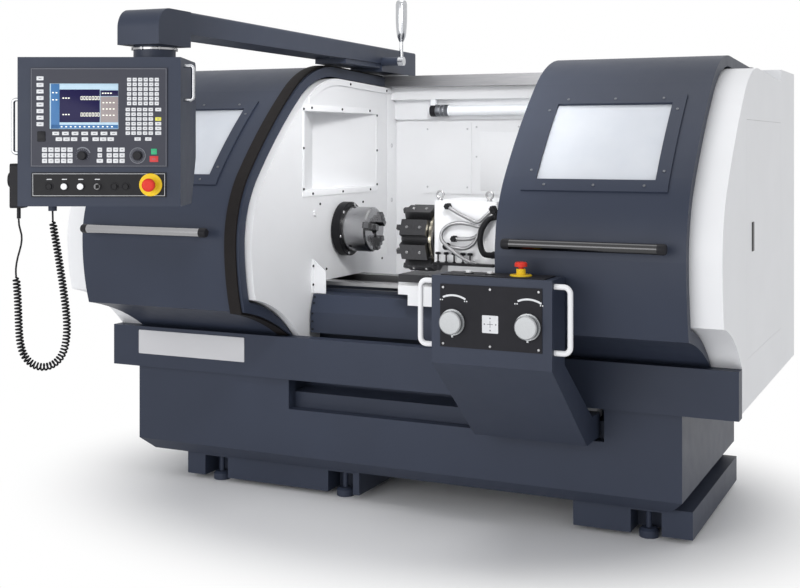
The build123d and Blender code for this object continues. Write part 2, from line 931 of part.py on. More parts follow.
def chuck_jaw(step):
    # A stepped hard jaw in its slot
    back = chuck_face - jaw_seat + seat_gap
    front = chuck_face + jaw_height
    outer = jaw_inner + jaw_length
    low_step = jaw_inner + jaw_length * jaw_step_shares[0]
    high_step = jaw_inner + jaw_length * jaw_step_shares[1]
    low_front = chuck_face + jaw_height * jaw_step_shares[0]
    high_front = chuck_face + jaw_height * jaw_step_shares[1]
    section = outline(
        (back, jaw_inner), (back, outer), (low_front, outer), (low_front, high_step), (high_front, high_step),
        (high_front, low_step), (front, low_step), (front, jaw_inner),
    )
    face = Plane.XZ.offset(-jaw_width / 2) * make_face(section)
    jaw = extrude(face, amount=jaw_width, dir=(0, -1, 0))
    return jaw_place(step) * jaw


# Carriage and control box

def saddle():
    low = bed_top + seat_gap
    top = low + saddle_height
    body = span_box((saddle_left, saddle_right), (-saddle_front, saddle_rear), (low, top))
    wing_top = top - wing_clear
    wing_low = wing_top - wing_thickness
    wing_x = (saddle_left + saddle_step, link_right)
    body += span_box(wing_x, (-wing_reach, -saddle_front), (wing_low, wing_top))
    step_low = wing_low - saddle_step
    body += span_box(
        (saddle_left + 2 * saddle_step, link_right),
        (-wing_reach, skirt_thickness - wing_reach),
        (step_low, wing_low),
    )
    skirt_low = stand_top - channel_height + link_lift
    skirt_y = (-wing_reach, skirt_thickness - wing_reach)
    link_x = (link_left, link_right)
    body += span_box(link_x, skirt_y, (skirt_low, step_low))
    link_y = (-chin_link, skirt_thickness - wing_reach)
    return body + span_box(link_x, link_y, (skirt_low, skirt_low + link_height))


def apron_box():
    # One bent housing: the box in front, a chin that runs down and back, and a foot that enters the slot
    rear = box_depth - box_front
    top = box_bottom + box_height
    section = outline(
        (-box_front, top), (-box_front, box_bottom), (-chin_front, chin_bottom), (-chin_link, chin_bottom),
        (-chin_link, chin_top), (-chin_back + chin_shift, chin_top), (rear, box_bottom), (rear, top),
    )
    body = along_x(section, box_left, box_right)
    upper = body.edges().filter_by(Axis.X).group_by(Axis.Z)[-1]
    body = fillet(upper, chin_fillet)
    for knob_x in knob_places():
        body -= round_y(
            knob_stem_radius + running_gap,
            -box_front - overrun,
            knob_stem_length - box_front,
            knob_x,
            knob_height(),
        )
    for x, radius, depth in top_holes():
        body -= round_z(radius, top - depth, top + overrun, x, top_row())
    return body


def knob_places():
    middle = (box_left + box_right) / 2
    return (middle - knob_spread / 2, middle + knob_spread / 2)


def knob_height():
    return box_bottom + box_height - knob_drop


def top_row():
    return box_depth / 2 - box_front


def push_places():
    first = box_left + push_left
    return (first, first + push_spread)


def top_holes():
    holes = [(x, push_stem_radius + running_gap, push_stem_length + push_travel_room) for x in push_places()]
    return holes + [(box_left + stop_left, stop_stem_radius + running_gap, stop_stem_length + stop_lift)]


def apron_panels():
    # The front plate and the top plate of the control box
    top = box_bottom + box_height
    front_x = (box_left + front_panel_margin, box_right - front_panel_margin)
    front_z = (box_bottom + front_panel_low, top - front_panel_top)
    front = span_box(front_x, (-box_front - panel_sheet, -box_front), front_z)
    for knob_x in knob_places():
        hole = knob_stem_radius + running_gap
        front -= round_y(hole, -box_front - overrun, -box_front + overrun, knob_x, knob_height())
    top_x = (box_left + top_panel_margin, box_right - top_panel_margin)
    top_y = (top_panel_edge - box_front, box_depth - box_front - top_panel_edge)
    plate = span_box(top_x, top_y, (top, top + panel_sheet))
    for x, radius, depth in top_holes():
        plate -= round_z(radius, top - overrun, top + overrun, x, top_row())
    return Compound(children=[front, plate])


def apron_handwheel(x):
    # Silver hand knob with a skirt, a pointer and a stem through the plate
    face = -box_front - panel_sheet - seat_gap
    z = knob_height()
    knob = round_y(knob_skirt_radius, face - knob_skirt_length, face, x, z)
    grip = round_y(knob_radius, face - knob_length, face - knob_skirt_length, x, z)
    grip = chamfer(grip.edges().sort_by(Axis.Y)[0], knob_skirt_length * round_share)
    knob += grip
    pointer_y = (face - knob_skirt_length, face)
    pointer = span_box(
        (x - knob_pointer / 2, x + knob_pointer / 2),
        pointer_y,
        (z - knob_skirt_radius - knob_pointer, z - knob_radius),
    )
    return knob + pointer + round_y(knob_stem_radius, face, knob_stem_length - box_front - seat_gap, x, z)


def push_button(place):
    # A push button that stands on its panel's surface, drawn upright at the origin
    cap = round_z(push_radius, push_travel_room, push_travel_room + push_height)
    cap = fillet(cap.edges().sort_by(Axis.Z)[-1], push_height * edge_share)
    return place * (cap + round_z(push_stem_radius, -push_stem_length, push_travel_room))


def stop_ring(place):
    ring = round_z(stop_ring_radius, 0, stop_ring_height)
    ring = chamfer(ring.edges().sort_by(Axis.Z)[-1], stop_ring_height * edge_share)
    ring += round_z(stop_collar_radius, stop_ring_height, stop_collar_height)
    return place * (ring - round_z(stop_stem_radius + running_gap, -overrun, stop_collar_height + overrun))


def stop_button(place):
    # Mushroom head with its stem down through the collar
    low = stop_collar_height + stop_lift
    head = round_z(stop_head_radius, low, low + stop_head_height)
    head = fillet(head.edges().sort_by(Axis.Z)[-1], stop_head_height * round_share)
    return place * (head + round_z(stop_stem_radius, seat_gap - stop_stem_length + stop_lift, low))


def bent_grip(radius, reach, span, bend):
    # A round bar grip drawn on its face: two legs of the given reach, a span apart along Z
    path = FilletPolyline((0, 0, 0), (-reach, 0, 0), (-reach, 0, span), (0, 0, span), radius=bend)
    return sweep(Plane(origin=(0, 0, 0), z_dir=(-1, 0, 0)) * Circle(radius), path=path)


def apron_handles():
    low = box_bottom + grip_low
    y = grip_back - box_front
    grip = bent_grip(grip_radius, grip_reach, grip_span, grip_bend)
    left = Pos(box_left, y, low) * grip
    right = Pos(box_right, y, low) * mirrored(grip)
    return Compound(children=[left, right])


# Cross slide and turret

slide_low = bed_top + saddle_height + 2 * seat_gap
housing_low = slide_low + slide_height


def cross_slide():
    return span_box((slide_left, slide_right), (-slide_front, slide_rear), (slide_low, housing_low))


def turret_housing():
    x_span = (housing_left, housing_left + housing_length)
    y_span = (-housing_front, housing_depth - housing_front)
    body = span_box(x_span, y_span, (housing_low, housing_low + housing_height))
    body = fillet(body.edges().filter_by(Axis.Z), housing_fillet)
    bore = turret_shaft_radius + running_gap
    shaft_end = housing_left + turret_shaft_length
    return body - round_x(bore, housing_left - overrun, shaft_end, -turret_axis_front, turret_height)


def turret_centre():
    return Pos(0, -turret_axis_front, turret_height)


def turret_disc():
    # Octagonal tool disc with a round hub and the shaft that carries it
    octagon = RegularPolygon(turret_disc_radius, turret_sides, major_radius=False)
    disc = extrude(Plane.YZ.offset(turret_disc_left) * octagon, amount=turret_disc_length, dir=(1, 0, 0))
    rear = turret_disc_left + turret_disc_length
    disc += round_x(turret_hub_radius, turret_disc_left - turret_hub_length, turret_disc_left)
    collar_end = housing_left - seat_gap
    disc += round_x(turret_hub_radius, rear, collar_end)
    shaft_end = housing_left + turret_shaft_length - seat_gap
    return turret_centre() * (disc + round_x(turret_shaft_radius, collar_end, shaft_end))


def turret_tools():
    # One tool block with a bar on each flat of the disc
    half = tool_width / 2
    block_x = (turret_disc_left + tool_bar_inset, turret_disc_left + tool_bar_inset + tool_depth)
    top = turret_disc_radius + tool_height
    block = span_box(block_x, (-half, half), (turret_disc_radius, top))
    bar_x = (turret_disc_left - tool_bar_reach, block_x[0])
    block += span_box(bar_x, (-tool_bar / 2, tool_bar / 2), (top - tool_bar, top))
    half_step = 180 / turret_sides
    turns = [half_step + 2 * step * half_step for step in range(turret_sides)]
    return Compound(children=[turret_centre() * Rot(turn, 0, 0) * block for turn in turns])


def hose_run(points):
    path = FilletPolyline(*points, radius=hose_bend)
    start = Plane(origin=path @ 0, z_dir=path % 0)
    return sweep(start * Circle(hose_radius), path=path)


def hose_fitting(x, z):
    front = -housing_front
    return round_y(hose_fitting_radius, front - hose_fitting_length, front, x, z)


def coolant_hoses():
    # Two clad hoses that leave fittings on the housing, cross its front and go back into it
    front = -housing_front
    out = front - hose_fitting_length - hose_clear
    pieces = []
    for start, turn, end in zip(hose_start_shares, hose_turn_shares, hose_end_shares):
        spots = [
            (housing_left + x * housing_length, housing_low + z * housing_height)
            for x, z in (start, turn, end)
        ]
        (x0, z0), (x1, z1), (x2, z2) = spots
        lip = front - hose_fitting_length
        hose = hose_run(((x0, lip, z0), (x0, out, z0), (x1, out, z1), (x2, out, z2), (x2, lip, z2)))
        pieces.append(hose + hose_fitting(x0, z0) + hose_fitting(x2, z2))
    return Compound(children=pieces)


# Pendant arm, lever and pendant

def arm_frame():
    return Pos(-arm_pivot_left, arm_pivot_rear, 0) * Rot(0, 0, arm_turn)


def pendant_arm():
    # Box beam that turns on the cabinet's post, with a deeper hub and a cable box below it
    half = arm_width / 2
    front = head_length / 2 - arm_length
    beam = span_box((-half, half), (front, arm_tail), (arm_bottom, arm_top))
    beam = fillet(beam.edges().filter_by(Axis.Y).group_by(Axis.Z)[-1], arm_edge)
    beam += span_box((-half, half), (-arm_box_start, arm_tail), (arm_hub_bottom, arm_bottom))
    beam -= round_z(post_pin_radius + running_gap, arm_hub_bottom - overrun, arm_hub_bottom + arm_hub_depth)
    box_half = arm_box_width / 2
    box_y = (-arm_box_start - arm_box_length, -arm_box_start)
    beam += span_box((-box_half, box_half), box_y, (arm_bottom - arm_box_height, arm_bottom))
    boss = round_x(lever_boss_radius, half, half + lever_boss_length, -lever_reach, lever_height())
    hole = round_x(
        lever_pin_radius + running_gap,
        half + lever_boss_length - lever_pin_length,
        half + lever_boss_length + overrun,
        -lever_reach,
        lever_height(),
    )
    return arm_frame() * (beam + boss - hole)


def lever_height():
    return arm_bottom + lever_rise


def arm_head():
    half = arm_width / 2
    y_mid = -arm_length
    block_y = (y_mid - head_length / 2, y_mid + head_length / 2)
    block = span_box((-half, half), block_y, (head_bottom, arm_top))
    rounded = block.edges().filter_by(Axis.X).group_by(Axis.Z)[-1].sort_by(Axis.Y)[0]
    block = fillet(rounded, head_edge)
    bore = swivel_pin_radius + running_gap
    block -= round_z(bore, head_bottom - overrun, head_bottom + swivel_pin_length + seat_gap, 0, y_mid)
    return arm_frame() * block


def clamp_lever():
    # Upright clamp lever with a grip, on a pin in the arm's side boss
    x = arm_width / 2 + lever_boss_length + seat_gap
    y = -lever_reach
    z = lever_height()
    hub_x = (x, x + lever_hub_length)
    lever = round_x(lever_boss_radius, *hub_x, y, z)
    lever += round_x(lever_pin_radius, x - lever_pin_length, x, y, z)
    stalk_x = x + lever_hub_length / 2
    top = z + lever_length
    lever += round_z(lever_arm_radius, z, top - lever_grip_length, stalk_x, y)
    grip = round_z(lever_grip_radius, top - lever_grip_length, top, stalk_x, y)
    return arm_frame() * (lever + fillet(grip.edges().sort_by(Axis.Z)[-1], lever_grip_radius * round_share))


def pendant_frame():
    tip = arm_frame() * Pos(0, -arm_length, 0)
    return Pos(*tip.position) * Rot(0, 0, pendant_turn)


pendant_x = (-pendant_off_axis - pendant_width / 2, pendant_width / 2 - pendant_off_axis)


def face_place(x, drop):
    # A place on the pendant's face, with its own Z standing out of the face
    spot = (x - pendant_off_axis, -pendant_face, pendant_top - drop)
    return Location(Plane(origin=spot, z_dir=(0, -1, 0), x_dir=(1, 0, 0)))


def face_plate(x, drop, width, height, thickness):
    # A plate on the face, given by the middle of its upper edge
    low = drop + height
    middle = x - pendant_off_axis
    return span_box(
        (middle - width / 2, middle + width / 2),
        (-pendant_face - thickness, -pendant_face),
        (pendant_top - low, pendant_top - drop),
    )


def control_holes():
    # Stems that pass the pendant's face: place, drop, radius, depth
    push_depth = push_stem_length + push_travel_room
    holes = [(x, switch_drop, push_stem_radius, push_depth) for x in pendant_push_places]
    for x in (feed_dial_place, spindle_dial_place):
        holes.append((x, dial_drop, push_stem_radius, push_stem_length))
    holes.append((key_place, switch_drop, push_stem_radius, push_stem_length))
    holes.append((pendant_stop_place, pendant_stop_drop, stop_stem_radius, stop_stem_length + stop_lift))
    return holes


def drilled(shape):
    for x, drop, radius, depth in control_holes():
        shape -= face_place(x, drop) * round_z(radius + running_gap, -depth, overrun)
    return shape


def pendant_case():
    # Deep sheet case, cut back at the lower rear, with the swivel neck on top and the cord's gland below
    front = -pendant_face
    rear = pendant_depth - pendant_face
    section = outline(
        (front, pendant_bottom), (front, pendant_top), (rear - pendant_edge, pendant_top),
        (rear, pendant_top - pendant_edge), (rear, pendant_bottom + pendant_slant_rise),
        (rear - pendant_slant_depth, pendant_bottom),
    )
    case = along_x(section, *pendant_x)
    case += round_z(swivel_radius, pendant_top, pendant_top + swivel_height)
    neck = pendant_top + swivel_height
    case += round_z(swivel_pin_radius, neck, neck + swivel_pin_length)
    case += round_z(gland_radius, pendant_bottom - gland_length, pendant_bottom, -gland_place, -cord_depth)
    return pendant_frame() * drilled(case)


def pendant_panel():
    # The bezel with its screen recess, and the lower switch strip with its fixed caps
    bezel = face_plate(0, bezel_drop, bezel_width, bezel_height, bezel_sheet)
    screen = face_plate(-screen_left, bezel_drop + screen_drop, screen_width, screen_height, bezel_sheet)
    bezel -= Pos(0, -screen_depth, 0) * screen
    strip = face_plate(0, strip_drop, strip_width, strip_height, bezel_sheet)
    for x in cap_places:
        strip += face_place(x, switch_drop) * round_z(cap_radius, bezel_sheet, bezel_sheet + cap_height)
    return pendant_frame() * Compound(children=[drilled(bezel), drilled(strip)])


def raised_place(x, drop):
    # On the outer surface of the panel's plates
    return pendant_frame() * face_place(x, drop) * Pos(0, 0, bezel_sheet)


def rotary_dial(x, drop):
    dial = round_z(dial_radius, seat_gap, dial_height)
    dial = chamfer(dial.edges().sort_by(Axis.Z)[-1], dial_height * bevel_share)
    return raised_place(x, drop) * (dial + round_z(push_stem_radius, seat_gap - push_stem_length, seat_gap))


def key_switch():
    body = round_z(key_radius, seat_gap, cap_height)
    half = key_blade / 2
    thin = key_sheet / 2
    body += span_box((-thin, thin), (-half, half), (cap_height, cap_height + 2 * key_blade))
    stem = round_z(push_stem_radius, seat_gap - push_stem_length, seat_gap)
    return raised_place(key_place, switch_drop) * (body + stem)


def pendant_handles():
    # A long grip on the left side and a short one high on the right side
    y = pendant_grip_back - pendant_face
    long_grip = bent_grip(pendant_grip_radius, pendant_grip_reach, pendant_grip_span, pendant_grip_bend)
    long_low = pendant_top - pendant_grip_drop - pendant_grip_span
    left = Pos(pendant_x[0], y, long_low) * long_grip
    short_grip = bent_grip(pendant_grip_radius, pendant_grip_reach, pendant_short_span, pendant_grip_bend)
    short_low = pendant_top - pendant_short_drop - pendant_short_span
    right = Pos(pendant_x[1], y, short_low) * mirrored(short_grip)
    return pendant_frame() * Compound(children=[left, right])


handheld_x = (pendant_x[0] - handheld_thickness, pendant_x[0])
handheld_z = (pendant_top - handheld_drop - handheld_height, pendant_top - handheld_drop)
handheld_y = (-handheld_front, handheld_width - handheld_front)


def handheld_middle():
    return (handheld_y[0] + handheld_y[1]) / 2


def handheld_box():
    body = span_box(handheld_x, handheld_y, handheld_z)
    body = fillet(body.edges().filter_by(Axis.X), handheld_edge)
    relief_x = (handheld_x[0] + handheld_x[1]) / 2
    relief_z = (handheld_z[0] - handheld_relief_length, handheld_z[0])
    body += round_z(handheld_relief_radius, *relief_z, relief_x, -cord_depth)
    stem_end = handheld_x[0] + push_stem_length
    dial_z = handheld_z[0] + handheld_dial_rise
    bore = push_stem_radius + running_gap
    hole = round_x(bore, handheld_x[0] - overrun, stem_end, handheld_middle(), dial_z)
    return pendant_frame() * (body - hole)


def handheld_dial():
    z = handheld_z[0] + handheld_dial_rise
    face = handheld_x[0] - seat_gap
    dial = round_x(handheld_dial_radius, face - handheld_dial_height, face, handheld_middle(), z)
    dial = chamfer(dial.edges().sort_by(Axis.X)[0], handheld_dial_height * bevel_share)
    stem = round_x(push_stem_radius, face, handheld_x[0] + push_stem_length - seat_gap, handheld_middle(), z)
    return pendant_frame() * (dial + stem)


def cord_radii(points):
    # Each bend is as wide as its two runs allow
    radii = []
    for before, here, after in zip(points, points[1:], points[2:]):
        run_in = here - before
        run_out = after - here
        half_turn = math.radians(run_in.get_angle(run_out)) / 2
        radii.append(bend_share * min(run_in.length, run_out.length) / math.tan(half_turn))
    return radii


def cord_tube(route, radius, name):
    points = [Vector(x, -cord_depth, z) for x, z in route]
    radii = cord_radii(points)
    print(name, "bend radii", [round(r) for r in radii])
    path = FilletPolyline(*points, radius=radii)
    start = Plane(origin=path @ 0, z_dir=path % 0)
    tube = sweep(start * Circle(radius), path=path)
    swept_share = tube.volume / (math.pi * radius**2 * path.length)
    print(name, "length", round(path.length), "volume share", round(swept_share, 4))
    return pendant_frame() * tube


def top_place(x):
    return Pos(x, top_row(), box_bottom + box_height + panel_sheet)


def all_parts():
    first_push, second_push = [top_place(x) for x in push_places()]
    left_knob, right_knob = knob_places()
    apron_stop = top_place(box_left + stop_left)
    pendant_stop = raised_place(pendant_stop_place, pendant_stop_drop)
    parts = {
        "base_stand": base_stand(),
        "levelling_pads": levelling_pads(),
        "front_sill": front_sill(),
        "bed": bed(),
        "screw_guard": screw_guard(),
        "headstock": headstock(),
        "headstock_cover": headstock_cover(),
        "headstock_wall": headstock_wall(),
        "right_cover": right_cover(),
        "rear_wall": rear_wall(),
        "top_rail": top_rail(),
        "work_lamp": work_lamp(),
        "rear_cabinet": rear_cabinet(),
        "service_door": service_door(),
        "service_latch": service_latch(),
        "left_door": sliding_door(left_door_span, left_glass),
        "left_door_window": door_window(left_glass),
        "left_door_seal": door_seal(),
        "left_door_pull": door_pull(left_door_span, left_pull_margins),
        "right_door": sliding_door(right_door_span, right_glass),
        "right_door_window": door_window(right_glass),
        "right_door_pull": door_pull(right_door_span, right_pull_margins),
        "spindle": spindle(),
        "chuck_backplate": chuck_backplate(),
        "chuck_body": chuck_body(),
        "saddle": saddle(),
        "apron_box": apron_box(),
        "apron_panels": apron_panels(),
        "apron_handles": apron_handles(),
        "z_handwheel": apron_handwheel(left_knob),
        "x_handwheel": apron_handwheel(right_knob),
        "apron_start_button": push_button(first_push),
        "apron_hold_button": push_button(second_push),
        "apron_stop_ring": stop_ring(apron_stop),
        "apron_stop_button": stop_button(apron_stop),
        "cross_slide": cross_slide(),
        "turret_housing": turret_housing(),
        "turret_disc": turret_disc(),
        "turret_tools": turret_tools(),
        "coolant_hoses": coolant_hoses(),
        "pendant_arm": pendant_arm(),
        "arm_head": arm_head(),
        "clamp_lever": clamp_lever(),
        "pendant_case": pendant_case(),
        "pendant_panel": pendant_panel(),
        "pendant_handles": pendant_handles(),
        "pendant_stop_ring": stop_ring(pendant_stop),
        "pendant_stop_button": stop_button(pendant_stop),
        "feed_dial": rotary_dial(feed_dial_place, dial_drop),
        "spindle_dial": rotary_dial(spindle_dial_place, dial_drop),
        "key_switch": key_switch(),
        "handheld_box": handheld_box(),
        "handheld_dial": handheld_dial(),
        "cord_coil": cord_tube(coil_route, coil_radius, "coil"),
        "cord_tail": cord_tube(tail_route, tail_radius, "tail"),
    }
    for step in range(jaw_count):
        parts[f"chuck_jaw_{step + 1}"] = chuck_jaw(step)
    for number, x in enumerate(pendant_push_places, 1):
        parts[f"pendant_button_{number}"] = push_button(raised_place(x, switch_drop))
    return parts


os.makedirs("parts", exist_ok=True)
for node, shape in all_parts().items():
    export_step(shape, f"parts/{node}.step")
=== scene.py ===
import json
import math

import bpy
import numpy as np
from mathutils.bvhtree import BVHTree
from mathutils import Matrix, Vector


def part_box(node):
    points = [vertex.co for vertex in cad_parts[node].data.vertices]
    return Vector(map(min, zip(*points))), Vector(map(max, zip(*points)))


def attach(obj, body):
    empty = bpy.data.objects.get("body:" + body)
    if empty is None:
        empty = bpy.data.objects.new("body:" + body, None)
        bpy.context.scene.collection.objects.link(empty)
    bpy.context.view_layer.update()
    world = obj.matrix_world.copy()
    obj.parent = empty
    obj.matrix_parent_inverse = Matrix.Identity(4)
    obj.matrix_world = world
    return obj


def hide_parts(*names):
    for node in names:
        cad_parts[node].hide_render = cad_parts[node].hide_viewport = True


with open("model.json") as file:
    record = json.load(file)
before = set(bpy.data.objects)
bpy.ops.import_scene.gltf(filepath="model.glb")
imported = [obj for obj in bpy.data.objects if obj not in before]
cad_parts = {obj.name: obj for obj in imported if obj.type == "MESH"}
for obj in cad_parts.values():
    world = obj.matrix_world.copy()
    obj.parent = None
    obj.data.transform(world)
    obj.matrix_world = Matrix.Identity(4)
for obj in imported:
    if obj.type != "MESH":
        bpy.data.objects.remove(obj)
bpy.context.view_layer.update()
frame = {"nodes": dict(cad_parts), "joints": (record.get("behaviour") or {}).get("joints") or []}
nodes = frame["nodes"]
joints = {j["name"]: j for j in frame["joints"]}
print("frame loaded with", len(nodes), "nodes")

mm = 0.001  # listed sizes are in millimetres, places and meshes in metres


# Places and grids

def unit(v):
    v = np.asarray(v, float)
    return v / np.linalg.norm(v)


def units(rows):
    return rows / np.linalg.norm(rows, axis=1)[:, None]


def point(*values):
    return np.array(values, float) * mm


def placeAt(origin, xDir, zDir):
    # A place on a surface: its middle, and rows that hold its own x, y and outward z
    z = unit(zDir)
    x = unit(np.asarray(xDir, float) - np.dot(xDir, z) * z)
    return np.asarray(origin, float), np.stack([x, np.cross(z, x), z])


def facingFront(x, y, z):
    return placeAt(point(x, y, z), (1, 0, 0), (0, -1, 0))


def facingRight(x, y, z):
    return placeAt(point(x, y, z), (0, 1, 0), (1, 0, 0))


def facingUp(x, y, z):
    return placeAt(point(x, y, z), (1, 0, 0), (0, 0, 1))


def moved(place, x=0.0, y=0.0, z=0.0):
    return place[0] + point(x, y, z) @ place[1], place[1]


def turned(place, degrees):
    # The same place turned about its outward z
    a = math.radians(degrees)
    spin = np.array([[math.cos(a), math.sin(a), 0], [-math.sin(a), math.cos(a), 0], [0, 0, 1]])
    return place[0], spin @ place[1]


def around(first, count):
    # Cosine and sine of even angles round a circle, from the first one on
    turn = np.radians(first + np.arange(count) * 360 / count)
    return np.c_[np.cos(turn), np.sin(turn)]


def stacked(rings, place=None, wrap=False):
    # A closed skin through m rings of n points: quads between neighbours, flat caps unless it wraps round
    m, n = rings.shape[:2]
    points = rings.reshape(-1, 3)
    if place is not None:
        points = place[0] + points @ place[1]
    rows = m if wrap else m - 1
    i, j = np.meshgrid(np.arange(rows), np.arange(n), indexing="ij")
    a, b = i * n + j, i * n + (j + 1) % n
    c, d = (i + 1) % m * n + (j + 1) % n, (i + 1) % m * n + j
    faces = np.stack([a, b, c, d], -1).reshape(-1, 4).tolist()
    if not wrap:
        faces += [list(range(n - 1, -1, -1)), list(range((m - 1) * n, m * n))]
    return points, faces


def roundedOutline(width, height, corner, steps=5):
    # A rectangle with round corners: four quarter circles, moved out to the corners
    corner = min(corner, width / 2 - 0.01, height / 2 - 0.01)
    turn = np.linspace(0, math.pi / 2, steps)[None, :] + np.arange(4)[:, None] * math.pi / 2
    sx, sy = np.array([1, -1, -1, 1])[:, None], np.array([1, 1, -1, -1])[:, None]
    x = sx * (width / 2 - corner) + corner * np.cos(turn)
    y = sy * (height / 2 - corner) + corner * np.sin(turn)
    return np.stack([x.ravel(), y.ravel()], -1)


def plate(place, width, height, depth, corner=2.0, edge=0.6):
    # A rounded rectangle raised along z, its upper edge broken by a small slope
    rings = []
    for inset, z in ((0.0, 0.0), (0.0, depth - edge), (edge, depth)):
        outline = roundedOutline(width - 2 * inset, height - 2 * inset, corner)
        rings.append(np.c_[outline, np.full(len(outline), z)])
    return stacked(np.array(rings) * mm, place)


def revolved(place, profile, sides=24, lobes=0, swell=0.0, hollow=False):
    # A profile of radius and height turned once about z, its radius swelling into lobes if asked;
    # a hollow one closes its profile into a ring
    profile = np.maximum(np.asarray(profile, float), [0.01, -1e9]) * mm
    turn = np.arange(sides) * 2 * math.pi / sides
    r, z = profile[:, :1] * (1 + swell * np.cos(lobes * turn)), profile[:, 1:]
    rings = np.stack([r * np.cos(turn), r * np.sin(turn), np.broadcast_to(z, (len(profile), sides))], -1)
    return stacked(rings, place, hollow)


def tube(path, radius, sides=12, wrap=False, up=(0, 1, 0)):
    # Circles carried along a path, square to its tangents: one radius for all, or one for each point
    tangent = np.roll(path, -1, 0) - np.roll(path, 1, 0) if wrap else np.gradient(path, axis=0)
    side = units(np.cross(tangent, up))[:, None]
    over = units(np.cross(side[:, 0], tangent))[:, None]
    turn = (np.arange(sides) * 2 * math.pi / sides)[None, :, None]
    reach = np.broadcast_to(radius, (len(path),))[:, None, None] * mm
    rings = path[:, None] + reach * (side * np.cos(turn) + over * np.sin(turn))
    return stacked(rings[:, ::-1], wrap=wrap)


def arcBand(place, radius, width, start, end, depth, steps=28):
    # A flat band bent round z: a small rectangle carried along an arc of the given angles
    turn = np.radians(np.linspace(start, end, steps))[:, None]
    r = radius + np.array([-1, 1, 1, -1]) * width / 2
    z = np.broadcast_to(np.array([0.0, 0.0, depth, depth]), (steps, 4))
    rings = np.stack([r * np.cos(turn), r * np.sin(turn), z], -1) * mm
    return stacked(rings[::-1], place)


def smoothLine(points, steps):
    # A Catmull curve through given points: cubic blends of each point and its neighbours
    p = np.asarray(points, float) * mm
    p = np.vstack([2 * p[0] - p[1], p, 2 * p[-1] - p[-2]])
    t = np.linspace(0, len(p) - 3 - 1e-9, steps)
    i = t.astype(int)
    f = (t - i)[:, None]
    a, b, c, d = p[i], p[i + 1], p[i + 2], p[i + 3]
    return 0.5 * (2 * b + (c - a) * f + (2 * a - 5 * b + 4 * c - d) * f**2 + (3 * b - 3 * c + d - a) * f**3)


def runOf(line):
    # Length along a line up to each of its points
    return np.r_[0, np.cumsum(np.linalg.norm(np.diff(line, axis=0), axis=1))]


def alongLine(line, spots):
    # Points of a line at the given lengths along it
    run = runOf(line)
    return np.stack([np.interp(spots, run, line[:, k]) for k in range(3)], -1)


def cornersOf(mesh):
    # A mesh's corners as rows of x, y and z
    corners = np.zeros(len(mesh.vertices) * 3)
    mesh.vertices.foreach_get("co", corners)
    return corners.reshape(-1, 3)


def addPiece(name, shapes, tone, body, sharp=38):
    # Joins the given shapes into one mesh with a finish, and lets it ride on a body
    points, faces, first = [], [], 0
    for shapePoints, shapeFaces in shapes:
        points.append(shapePoints)
        faces += [[first + k for k in face] for face in shapeFaces]
        first += len(shapePoints)
    mesh = bpy.data.meshes.new(name)
    mesh.from_pydata(np.vstack(points).tolist(), [], faces)
    mesh.polygons.foreach_set("use_smooth", np.ones(len(mesh.polygons), bool))
    mesh.set_sharp_from_angle(angle=math.radians(sharp))
    mesh.materials.append(finish[tone])
    obj = bpy.data.objects.new(name, mesh)
    bpy.context.scene.collection.objects.link(obj)
    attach(obj, body)
    return obj


# Materials: all patterns read Object coordinates

def newMaterial(name):
    material = bpy.data.materials.new(name)
    material.use_nodes = True
    tree = material.node_tree
    coords = tree.nodes.new("ShaderNodeTexCoord")
    return material, tree, tree.nodes["Principled BSDF"], coords.outputs["Object"]


def addNode(tree, kind, values, links):
    # A shader node with some sockets set and some fed by other nodes
    node = tree.nodes.new("ShaderNode" + kind)
    setSockets(node, values)
    for socket, output in links.items():
        tree.links.new(output, node.inputs[socket])
    return node


def setSockets(node, values):
    for socket, value in values.items():
        node.inputs[socket].default_value = value


def noiseOf(tree, coords, scale, detail=3.0, stretch=(1, 1, 1)):
    mapping = addNode(tree, "Mapping", {"Scale": stretch}, {"Vector": coords})
    values = {"Scale": scale, "Detail": detail}
    return addNode(tree, "TexNoise", values, {"Vector": mapping.outputs["Vector"]}).outputs["Fac"]


def tinted(tree, shader, factor, dark, light):
    ramp = addNode(tree, "ValToRGB", {}, {"Fac": factor})
    for element, position, color in zip(ramp.color_ramp.elements, (0.3, 0.7), (dark, light)):
        element.position = position
        element.color = (*color, 1)
    tree.links.new(ramp.outputs["Color"], shader.inputs["Base Color"])


def roughened(tree, shader, factor, low, high):
    reach = addNode(tree, "MapRange", {"To Min": low, "To Max": high}, {"Value": factor})
    tree.links.new(reach.outputs["Result"], shader.inputs["Roughness"])


def bumped(tree, shader, factor, strength, distance):
    bump = addNode(tree, "Bump", {"Strength": strength, "Distance": distance}, {"Height": factor})
    tree.links.new(bump.outputs["Normal"], shader.inputs["Normal"])


def shade(color, share):
    return tuple(c * share for c in color)


def enamel(name, color, rough=0.42, peel=420.0, drift=0.07, gloss=0.5):
    # Sprayed enamel: slow drift of tone, fine orange peel
    material, tree, shader, coords = newMaterial(name)
    tinted(tree, shader, noiseOf(tree, coords, 2.2), shade(color, 1 - drift), shade(color, 1 + drift))
    roughened(tree, shader, noiseOf(tree, coords, 14.0), rough - 0.05, rough + 0.05)
    bumped(tree, shader, noiseOf(tree, coords, peel, 2.0), 0.12, 0.0006)
    setSockets(shader, {"Specular IOR Level": gloss})
    return material


def metal(name, color, rough=0.3, stretch=(1, 1, 1), grain=260.0, drift=0.1, bump=0.08):
    # Cut or ground metal: grain drawn out along one direction
    material, tree, shader, coords = newMaterial(name)
    lines = noiseOf(tree, coords, grain, 4.0, stretch)
    tinted(tree, shader, lines, shade(color, 1 - drift), shade(color, 1 + drift))
    roughened(tree, shader, lines, rough - 0.08, rough + 0.1)
    bumped(tree, shader, lines, bump, 0.0004)
    setSockets(shader, {"Metallic": 1.0})
    return material


